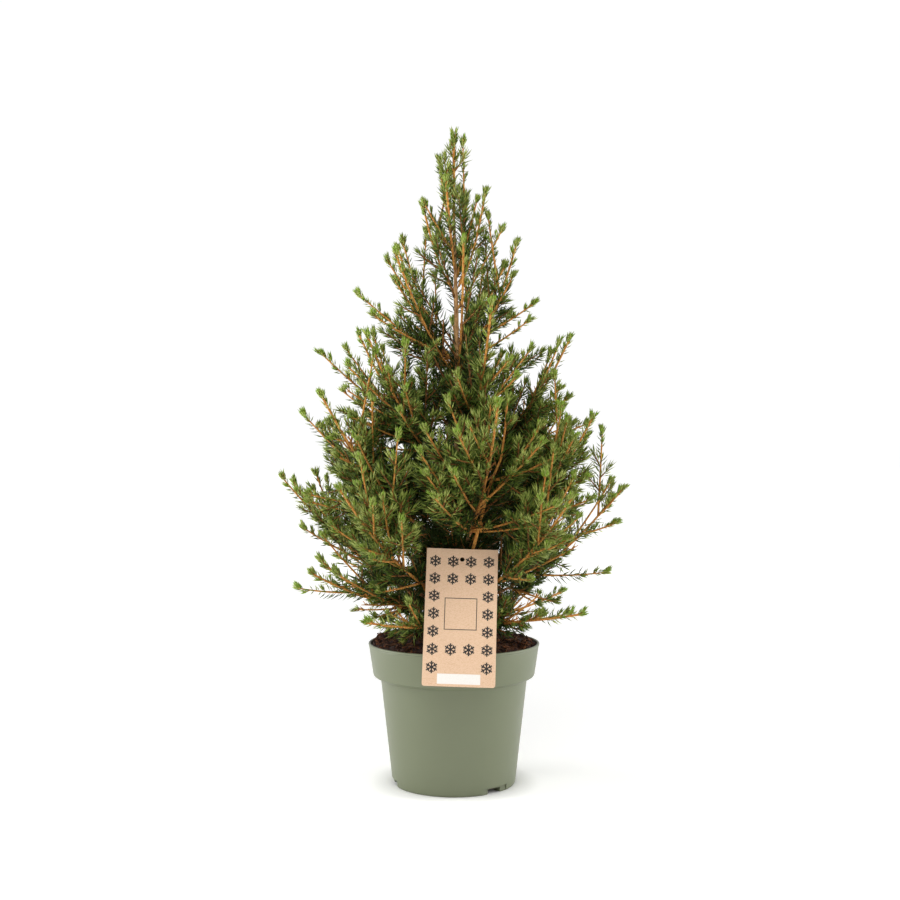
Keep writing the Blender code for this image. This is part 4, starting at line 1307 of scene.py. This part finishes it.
def add_shoot(owner, kind, line, share, space=0.0, face=None):
    """Adds a shoot as far along its line as it finds room, unless that is too short."""
    line = cut_to_room(line, owner, share, space)
    if line is not None:
        shoots.append(Shoot(owner, kind, line, face))


def lean_out(along, side, degrees):
    lean = math.radians(degrees)
    return unit(along * math.cos(lean) + side * math.sin(lean))


def at_share(line, share):
    """The point and the heading at a share of a line's length."""
    place = share * (len(line) - 1)
    step = min(int(place), len(line) - 2)
    run = line[step + 1] - line[step]
    return line[step] + run * (place - step), unit(run)


def across_axes(along):
    """Two unit vectors square to each heading."""
    least = np.eye(3)[np.argmin(np.abs(along), axis=-1)]
    aside = unit(np.cross(along, least))
    return aside, np.cross(along, aside)


def add_sub_shoots(parent, rng):
    """Finer shoots in two rows on a side shoot, more or less in one plane, as on a fern."""
    height = parent.line[-1][2]
    share = by_height(height, INNER_SHARE) if parent.kind == "side" else SUB_SHARE
    scale = by_height(height, (1.0, HIGH_SUB_SHARE))
    pitch = SUB_PITCH * by_height(height, (1.0, 1.5))
    place = pitch * rng.uniform(0.6, 1.3)
    side_sign = rng.choice((-1, 1))
    while place < parent.length - max(0.008, parent.free_end * 0.8):
        root, along = at_share(parent.line, place / parent.length)
        side = unit(np.cross(parent.face, along)) * side_sign
        side = unit(side + parent.face * rng.gauss(0.0, 0.45))
        left = parent.length - parent.free_end * 0.6 - place
        length = min(SUB_LONGEST, SUB_SHORTEST + SUB_TAPER * left) * rng.uniform(0.75, 1.1) * scale
        heading = lean_out(along, side, SUB_LEAN + rng.gauss(0.0, LEAN_SCATTER))
        line = shoot_line(root, heading, length, SHOOT_LIFT * 0.5, SHOOT_STEPS["sub"])
        add_shoot(parent.owner, "sub", line, share, -SUB_CROSSING)
        side_sign = -side_sign
        place += pitch * rng.uniform(0.8, 1.2)


def add_fingers(parent, rng):
    """Tiny shoots, mostly bud and needle: a bunch at the tip and some along the free end."""
    scale = LEADER_TUFT if parent.line[-1][2] > LEADER_TIP_ABOVE else 1.0
    bunch = round(TIP_FINGERS * scale**2)
    places = [parent.length - rng.uniform(*BUNCH_REACH) * scale for _ in range(bunch)]
    place = parent.length - FINGER_PITCH
    while place > max(parent.length - parent.free_end, 0.0):
        places.append(place)
        place -= FINGER_PITCH * rng.uniform(0.6, 1.3)
    turn = rng.uniform(0.0, math.tau)
    for place in places:
        root, along = at_share(parent.line, place / parent.length)
        aside, across = across_axes(along)
        turn += GOLDEN_ANGLE
        side = aside * math.cos(turn) + across * math.sin(turn)
        in_bunch = place > parent.length - 0.006 * scale
        heading = lean_out(along, side, rng.uniform(*(BUNCH_LEAN if in_bunch else FINGER_LEAN)))
        length = rng.uniform(*FINGER_LENGTH) * scale
        line = shoot_line(root, heading, length, SHOOT_LIFT, SHOOT_STEPS["finger"])
        shoots.append(Shoot(parent.owner, "finger", line))


def fill_gap(target):
    """A twig from a shoot near by to a spot that has none, if it can point outwards or up."""
    spots = np.concatenate([shoot.line for shoot in shoots])
    away = target - spots
    lengths = np.linalg.norm(away, axis=1)
    if lengths.min() < FILL_GAP:
        return
    out = unit(np.array((target[0], target[1], 0.0))) + up * 0.7
    ease = (away * unit(out)).sum(1) / lengths
    root = spots[np.argmin(lengths / np.maximum(ease + 0.3, 0.01))]
    length = np.linalg.norm(target - root)
    if length > SUB_LONGEST * 1.8:
        return
    line = shoot_line(root, unit(target - root), length, SHOOT_LIFT * 0.3, SHOOT_STEPS["sub"])
    add_shoot(room.nearest(target), "sub", line, SUB_SHARE, -CROSSING)


def crown_targets(share, spacing):
    """Spots spread evenly in a spiral over a share of the crown, at which shoots end."""
    fine = np.linspace(outline_heights[1], outline_heights[-1], 400)
    reach = outline_reach(fine) * share
    room_each = by_height(fine[1:], spacing) ** 2
    areas = math.tau * reach[1:] * np.hypot(np.diff(fine), np.diff(reach)) / room_each
    area = np.concatenate(([0.0], np.cumsum(areas)))
    targets = []
    for number in range(int(area[-1])):
        height = np.interp(number + 0.5, area, fine) + rng.gauss(0.0, HEIGHT_SCATTER)
        out = bearing_vector(math.degrees(number * GOLDEN_ANGLE) + rng.gauss(0.0, BEARING_SCATTER))
        fall_short = min(MOST_FALL_SHORT, abs(rng.gauss(0.0, OUTER_FALL_SHORT)))
        reach = outline_reach(height) * share * (1.0 - fall_short)
        targets.append(np.array((out.x * reach, out.y * reach, height)))
    return targets


def outer_line(target):
    """A nearly straight line that leaves a stem, or the trunk, at a slant and ends at a target."""
    away = target - stem_spots
    lengths = np.linalg.norm(away, axis=1)
    leans = np.degrees(np.arccos(np.clip((away / lengths[:, None] * stem_runs).sum(1), -1.0, 1.0)))
    least, best, greatest = OUTER_LENGTH
    cost = np.abs(leans - OUTER_LEAN) / LEAN_COST + np.abs(lengths - best) / LENGTH_COST
    cost[(lengths < least) | (lengths > greatest)] += NO_ROOT
    pick = int(np.argmin(cost))
    if cost[pick] > NO_ROOT / 2:
        return None, None
    knee = (stem_spots[pick] + target) / 2 - up * OUTER_SAG * lengths[pick]
    shares = np.linspace(0.0, 1.0, SHOOT_STEPS["outer"])[:, None]
    line = stem_spots[pick] * (1 - shares) ** 2
    line = line + 2 * knee * shares * (1 - shares) + target * shares**2
    return line, stem_runs[pick]


def grow_spray(owner, bough):
    """The leading shoot of a bough, and its side shoots in a spiral."""
    rng = random.Random(SEED * 2000 + owner)
    _, (stem, stem_radii) = limb_parts(bough)
    total = line_length(stem)
    line = resample(stem, SHOOT_STEPS["stem"])
    radii = np.maximum(np.linspace(stem_radii[0], stem_radii[-1], len(line)), STEM_LEAST_RADIUS)
    if bough.name == "leader":
        line[:, 2] -= np.linspace(0.0, LEADER_DROP, len(line))
        radii *= LEADER_SWELL
    free_end = by_height(line[-1][2], FREE_END)
    shoots.append(Shoot(owner, "stem", line, None, free_end, radii))
    inner_share = by_height(line[-1][2], INNER_SHARE)

    pitch = SPRAY_PITCH * math.sqrt(bough.longest_shoot / LONGEST_SHOOT)
    spiral = GOLDEN_ANGLE * len(bough.name)
    place = pitch / 2
    while place < total - BARE_END:
        spiral += GOLDEN_ANGLE
        reach = SPRAY_SHORTEST + SPRAY_TAPER * (total - BARE_END - place)
        longest = min(bough.longest_shoot, reach)
        spray = fitting_spray(owner, line_at(stem, place), spiral, longest)
        if spray:
            turned, length = spray
            root = np.array(turned.translation)
            heading, face = np.array(turned.col[1][:3]), np.array(turned.col[2][:3])
            line = shoot_line(root, heading, length, SHOOT_LIFT, SHOOT_STEPS["side"])
            add_shoot(owner, "side", line, inner_share, face=face)
        fine_count = FINE_PER_SPRAY if bough.limb_points else 0
        for fine in range(1, fine_count + 1):
            along_stem = place + pitch * fine / (fine_count + 1)
            if along_stem > total - BARE_END:
                continue
            root, along = line_at(stem, along_stem)
            side = along.orthogonal().normalized()
            side.rotate(Matrix.Rotation(spiral + fine * math.tau / 3, 3, along))
            along, side = np.array(along), np.array(side)
            heading = lean_out(along, side, FINE_LEAN + rng.gauss(0.0, LEAN_SCATTER))
            length = longest * rng.uniform(*FINE_SHARE)
            line = shoot_line(np.array(root), heading, length, SHOOT_LIFT, SHOOT_STEPS["side"])
            face = unit(np.cross(heading, np.cross(along, side)))
            add_shoot(owner, "side", line, inner_share, face=face)
        place += pitch


outline_heights, outline_reaches = np.array(CROWN_OUTLINE).T
front_ends = np.array(FRONT_OPENINGS)[:, 4] / 1000
openings = np.concatenate((np.array(FRONT_OPENINGS)[:, :4], OPENINGS)) / 1000
opening_places, opening_sizes = np.split(openings, 2, axis=1)
up = np.array((0.0, 0.0, 1.0))
room = Room(boughs)
shoots = []
for owner, bough in enumerate(boughs):
    grow_spray(owner, bough)

# The outer shoots leave the boughs' stems, and high up the trunk itself.
stems = [resample(limb_parts(bough)[1][0], 40) for bough in boughs]
trunk_spots = np.array([trunk_centre(h) for h in np.linspace(0.36, TRUNK_TIP_HEIGHT, 40)])
stem_spots = np.concatenate(stems + [trunk_spots])
stem_runs = np.concatenate([unit(np.gradient(line, axis=0)) for line in stems + [trunk_spots]])
rng = random.Random(SEED * 3000)
side_tips = [
    np.array((x / 1000, rng.uniform(-0.12, 0.12) * abs(x) / 1000, z / 1000)) for x, z in SIDE_TIPS
]
outer_tips = [
    target
    for target in crown_targets(1.0, OUTER_SPACING)
    if abs(target[0]) < outline_reach(target[2]) * 0.86
    and not (target[2] > LEADER_SHOWS_ABOVE and target[1] < -0.6 * math.hypot(*target[:2]))
]
inner_share, inner_spacing = INNER_LAYER
for kind, share, tips in (
    ("outer", SIDE_TIP_SHARE, side_tips),
    ("outer", OUTER_SHARE, outer_tips),
    ("side", OUTER_SHARE, crown_targets(inner_share, (inner_spacing, inner_spacing * 1.4))),
):
    for target in tips:
        owner = room.nearest(target)
        line, run = outer_line(target)
        if line is not None:
            line = resample(line, SHOOT_STEPS[kind])
            line = cut_to_room(line, owner, share, -CROSSING, kind == "outer")
        if line is not None:
            face = unit(np.cross(run, line[-1] - line[0]))
            free_end = by_height(target[2], FREE_END) if kind == "outer" else 0.0
            shoots.append(Shoot(owner, kind, line, unit(face + up * 0.3), free_end))

height, bearing = CORE_FOOT, 0.0
while height < CORE_TOP:
    out = np.array(bearing_vector(bearing))
    root = np.array(trunk_centre(height)) + out * trunk_radius(height) * 0.5
    length = CORE_LENGTH * rng.uniform(0.7, 1.1)
    heading = unit(out + up * rng.uniform(0.25, 0.9))
    line = shoot_line(root, heading, length, SHOOT_LIFT, SHOOT_STEPS["side"])
    face = unit(np.cross(heading, np.cross(up, heading)))
    add_shoot(room.nearest(line[4]), "side", line, CORE_SHARE, -CROSSING, face)
    height += CORE_PITCH * rng.uniform(0.7, 1.3)
    bearing += 137.5 + rng.gauss(0.0, 10.0)
for height, share, tips in ((FRONT_ROOT, FRONT_SHARE, FRONT_TIPS), (LOW_ROOT, LOW_SHARE, LOW_TIPS)):
    for tip in tips:
        root = np.array(trunk_centre(height))
        away = np.array(tip) / 1000 - root
        line = shoot_line(root, unit(away), np.linalg.norm(away), 0.0, SHOOT_STEPS["side"])
        face = unit(np.cross(away, np.cross(up, away)))
        add_shoot(room.nearest(line[4]), "side", line, share, -CROSSING, face)
for points, radii in zip(FRONT_BOUGH, FRONT_BOUGH_RADII):
    line = resample(np.array(points) / 1000, SHOOT_STEPS["outer"])
    radii = np.linspace(*radii, len(line))
    owner = room.nearest(line[len(line) // 2 + 1])
    shoots.append(Shoot(owner, "outer", line, unit(up * 0.3 - (0, 1, 0)), FREE_END[0], radii))

for parent in [shoot for shoot in shoots if shoot.kind in SUB_PARENTS]:
    add_sub_shoots(parent, rng)
for share in FILL_SHARES:
    for target in crown_targets(share, (FILL_SPACING, FILL_SPACING)):
        if target[2] < FILL_TOP:
            fill_gap(target)
for parent in [shoot for shoot in shoots if shoot.kind in ("stem", "outer")]:
    add_fingers(parent, rng)
shoots = [
    shoot
    for shoot in shoots
    if shoot.kind == "stem" or room.off_label(resample(shoot.line, CUT_SPOTS), CUT_MARGINS[1]).all()
]

whorl_names = [whorl for whorl, *_ in WHORLS] + ["leader"]
whorl_of = np.array([whorl_names.index(bough.whorl) for bough in boughs])
foliage_nodes = {
    whorl: [f"foliage_{bough.name}" for bough in boughs if bough.whorl == whorl]
    for whorl in whorl_names
}
# The side and finer shoots, most of them inside the crown, get a darker brown bark. This is partly the
# real colour of older shoots and partly painted shade.
new_bark = bark_finish("bark_young_shoots_orange", "#95561A", "#CD9644", 0.0014, 0.0002)
older_and_shaded_bark = bark_finish("bark_older_shoots_brown", "#56300C", "#9A692A", 0.0014, 0.0002)
for number, whorl in enumerate(whorl_names):
    for name, kinds, finish in (
        ("shoots", ("stem", "outer", "finger"), new_bark),
        ("twigs", ("side", "sub"), older_and_shaded_bark),
    ):
        corners, faces, count = [], {}, 0
        for kind in kinds:
            group = [shoot for shoot in shoots if shoot.kind == kind]
            group = [shoot for shoot in group if whorl_of[shoot.owner] == number]
            if not group:
                continue
            lines = np.array([shoot.line for shoot in group])
            radii = np.array([shoot.radii for shoot in group])
            points, groups = tubes(lines, radii, SHOOT_SIDES[kind])
            for part in groups:
                faces.setdefault(part.shape[1], []).append(part + count)
            corners.append(points)
            count += len(points)
        if not corners:
            continue
        faces = [np.concatenate(parts) for parts in faces.values()]
        mesh = joined_mesh(f"{name}_{whorl}", np.concatenate(corners), faces)
        twigs = place_piece(f"{name}_{whorl}", mesh, finish)
        twigs.data.shade_smooth()
        seat(twigs, "twig_bark", *foliage_nodes[whorl])


# ---------------------------------------------------------------- needles
# Stiff single needles, 6 to 12 mm long, set in a spiral round each shoot. They part above it, so
# that its bark shows, lean forward, and sweep up a little. The newest, at the tips, are palest. Deeper
# in the crown, in the open top and over the root ball they are darker, partly by age and partly as
# painted shade.

# For each kind of shoot: the distance between needles, their length at the tip and along the
# rest, and how far they spread from it there, in degrees.
NEEDLES = {
    "stem": (0.00112, 0.0070, 0.0115, 58),
    "side": (0.00096, 0.0090, 0.0122, 60),
    "outer": (0.00098, 0.0068, 0.0122, 60),
    "sub": (0.00094, 0.0085, 0.0116, 58),
    "finger": (0.00085, 0.0056, 0.0062, 46),
}
NEEDLE_HALF_WIDTH = 0.00066
NEEDLE_BELLY = 0.42  # where along its length a needle is widest
NEEDLE_SWEEP = 0.20
NEEDLE_CURL = 0.12
TIP_SPREAD = 14
TIP_NEEDLES = 4  # more of them near each tip
TIP_CROWDING = 1.35
FREE_END_SHARE = 0.60  # of the needles, that an outer shoot's free end keeps
PARTING_SHARE = 0.25  # of the needles, that stand in the parting above an outer shoot
CROWN_DEPTH = 0.12  # the way in from the outside over which needles turn from pale to dark, a painted shade
SHADED_BELOW = (0.155, 0.178)  # heights between which the darker needles of painted shade over the root ball begin
# Colour and sheen of each tint of needle: partly the colour of its age, and for the darker ones partly
# painted shade.
TINTS = {
    "deep": ("#253308", 0.20),
    "green": ("#465B14", 0.30),
    "olive": ("#73812D", 0.50),
    "young": ("#9DA750", 0.60),
    "fresh": ("#7E9B2E", 0.40),
}
# A needle's tint follows a score: where the tints begin, and what counts for it.
TINT_STEPS = (0.46, 0.72, 0.98)
FRESH_ABOVE = 1.10
OUTSIDE_SCORE = 0.98
TIP_SCORE = 0.20  # at a shoot's tip
TOP_SCORE = -0.14  # painted shade in the open top, fully grown over this height:
TOP_RUN = 0.06
SHADE_SCORE = -0.5  # painted shade over the root ball
SHOOT_SCATTER = 0.08  # from shoot to shoot, and from needle to needle
NEEDLE_SCATTER = 0.15
TURN_SCATTER = 0.3  # of the spiral, in radians
SPREAD_SCATTER = 7.0  # degrees
LENGTH_SCATTER = (0.84, 1.12)
WIDTH_SCATTER = (0.85, 1.15)
ROOT_SINK = 0.6  # a needle stands this far out in the bark, as a share of its radius
FULL_RUN = 0.016  # the way back from a shoot's tip over which its needles grow to full length
TIP_RUN = 0.012  # the way back from a shoot's tip over which its needles spread out and darken
BARE_TIP = 0.005  # no needle goes missing nearer to a free end's tip than this
TUFT = 0.008  # nor parts to show the bark nearer to an outer shoot's tip than this
RIM_GAP = 0.008  # needles this near to the pot's rim are left out
NEEDLE_MARGIN = 0.0012  # between needles and the label
NEEDLE_FACES = np.array(((0, 2, 1), (0, 3, 2), (0, 1, 3), (1, 2, 4), (2, 3, 4), (3, 1, 4)))


def needle_corners(roots, headings, forward, lengths, half_widths):
    """Five corners for each needle: its root, a ring of three at its belly, and its tip."""
    aside, across = across_axes(headings)
    belly = roots + headings * (lengths * NEEDLE_BELLY)[:, None]
    tips = roots + (headings + forward * NEEDLE_CURL) * lengths[:, None]
    ring = [
        belly + (aside * math.cos(turn) + across * math.sin(turn)) * half_widths[:, None]
        for turn in (0.0, math.tau / 3, 2 * math.tau / 3)
    ]
    return np.stack([roots, *ring, tips], axis=1)


pick = np.random.default_rng(SEED)
needle_sets = {(whorl, tint): [] for whorl in whorl_names for tint in TINTS}
for kind, (pitch, tip_length, full_length, spread) in NEEDLES.items():
    group = [shoot for shoot in shoots if shoot.kind == kind]
    lines = np.array([shoot.line for shoot in group])
    shoot_lengths = np.array([shoot.length for shoot in group])
    counts = (shoot_lengths / pitch).astype(int) + TIP_NEEDLES
    on = np.repeat(np.arange(len(group)), counts)  # the number of the shoot that it is on
    count = len(on)
    places = np.arange(count) - np.repeat(np.cumsum(counts) - counts, counts)
    places = (places + pick.random(count) * 0.8) / counts[on]
    places = 1.0 - (1.0 - places) ** TIP_CROWDING
    spots = places * (lines.shape[1] - 1)
    steps = np.minimum(spots.astype(int), lines.shape[1] - 2)
    runs = lines[on, steps + 1] - lines[on, steps]
    centres = lines[on, steps] + runs * (spots - steps)[:, None]
    along = unit(runs)
    aside, across = across_axes(along)
    turns = np.arange(count) * GOLDEN_ANGLE + pick.normal(0.0, TURN_SCATTER, count)
    outward = aside * np.cos(turns)[:, None] + across * np.sin(turns)[:, None]

    to_tip = (1.0 - places) * shoot_lengths[on]
    free_ends = np.array([shoot.free_end for shoot in group])[on]
    top = unit(centres * (1.0, 1.0, 0.0) + 1e-6) * 0.75 + up * 0.65
    top = unit(top - along * (top * along).sum(1)[:, None])
    luck = pick.random(count)
    kept = (to_tip > free_ends) | (luck < FREE_END_SHARE) | (to_tip < BARE_TIP)
    if kind == "outer":
        kept &= ((outward * top).sum(1) < 0.5) | (to_tip < TUFT) | (luck < PARTING_SHARE)
    turned = spread + pick.normal(0.0, SPREAD_SCATTER, count)
    lean = np.radians(TIP_SPREAD + (turned - TIP_SPREAD) * np.clip(to_tip / TIP_RUN, 0.1, 1.0))
    headings = along * np.cos(lean)[:, None] + outward * np.sin(lean)[:, None] + up * NEEDLE_SWEEP
    full = np.clip((to_tip - free_ends * 0.6) / FULL_RUN, 0.0, 1.0)
    lengths = tip_length + (full_length - tip_length) * full
    lengths *= pick.uniform(*LENGTH_SCATTER, count)
    ends = np.array([(shoot.radii[0], shoot.radii[-1]) for shoot in group])[on]
    radii = ends[:, 0] + (ends[:, 1] - ends[:, 0]) * places
    roots = centres + outward * radii[:, None] * ROOT_SINK
    widths = NEEDLE_HALF_WIDTH * pick.uniform(*WIDTH_SCATTER, count)
    corners = needle_corners(roots, unit(headings), along, lengths, widths)

    tips = corners[:, -1]
    kept &= room.off_label(tips, NEEDLE_MARGIN) & ~in_opening(tips) & ~in_opening(centres)
    at_pot = np.abs(np.hypot(tips[:, 0], tips[:, 1]) - RIM_RADIUS) < RIM_GAP
    kept &= ~(at_pot & (tips[:, 2] < RIM_HEIGHT + 0.001))
    # Painted shade in the tints: needles deeper in the crown, in the open top and over the root ball get
    # darker tints, and the tips are paler by their youth.
    depth = outline_reach(centres[:, 2]) - np.hypot(centres[:, 0], centres[:, 1])
    score = OUTSIDE_SCORE - depth / CROWN_DEPTH + TIP_SCORE * np.exp(-to_tip / TIP_RUN)
    score += TOP_SCORE * np.clip((centres[:, 2] - LOW_AND_HIGH[1]) / TOP_RUN, 0.0, 1.0)
    score += np.interp(centres[:, 2], SHADED_BELOW, (SHADE_SCORE, 0.0))
    scatter = pick.normal(0.0, SHOOT_SCATTER, len(group))[on]
    score += scatter + pick.normal(0.0, NEEDLE_SCATTER, count)
    tint_of = np.digitize(score, TINT_STEPS)
    if kind == "finger":
        tint_of = np.where(score > FRESH_ABOVE, len(TINTS) - 1, tint_of)
    whorl = whorl_of[np.array([shoot.owner for shoot in group])][on]
    for whorl_number, whorl_name in enumerate(whorl_names):
        for tint_number, tint in enumerate(TINTS):
            chosen = kept & (whorl == whorl_number) & (tint_of == tint_number)
            needle_sets[whorl_name, tint].append(corners[chosen])

needle_finishes = {}
for tint, (code, sheen) in TINTS.items():
    # Waxy needle skin: satin, with a plain colour for each tint, the darker ones partly painted shade.
    # The bloom of wax is patchy.
    made, tree, shader = start_material(
        f"needle_waxy_{tint}", {"IOR": 1.45, "Specular IOR Level": sheen}
    )
    shader.inputs["Base Color"].default_value = linear(code)
    spots = add_node(tree, "ShaderNodeTexCoord", {})
    bloom = add_node(
        tree, "ShaderNodeTexNoise", {"Vector": spots.outputs["Object"], "Scale": 1 / 0.008}
    )
    wax = add_node(
        tree,
        "ShaderNodeMapRange",
        {"Value": bloom.outputs["Fac"], "To Min": 0.42, "To Max": 0.62},
    )
    tree.links.new(wax.outputs["Result"], shader.inputs["Roughness"])
    needle_finishes[tint] = made

for (whorl, tint), parts in needle_sets.items():
    corners = np.concatenate(parts)
    if not len(corners):
        continue
    faces = (np.arange(len(corners))[:, None, None] * 5 + NEEDLE_FACES).reshape(-1, 3)
    mesh = joined_mesh(f"needles_{whorl}_{tint}", corners.reshape(-1, 3), [faces])
    needles = place_piece(f"needles_{whorl}_{tint}", mesh, needle_finishes[tint])
    seat(needles, "needles", *foliage_nodes[whorl])
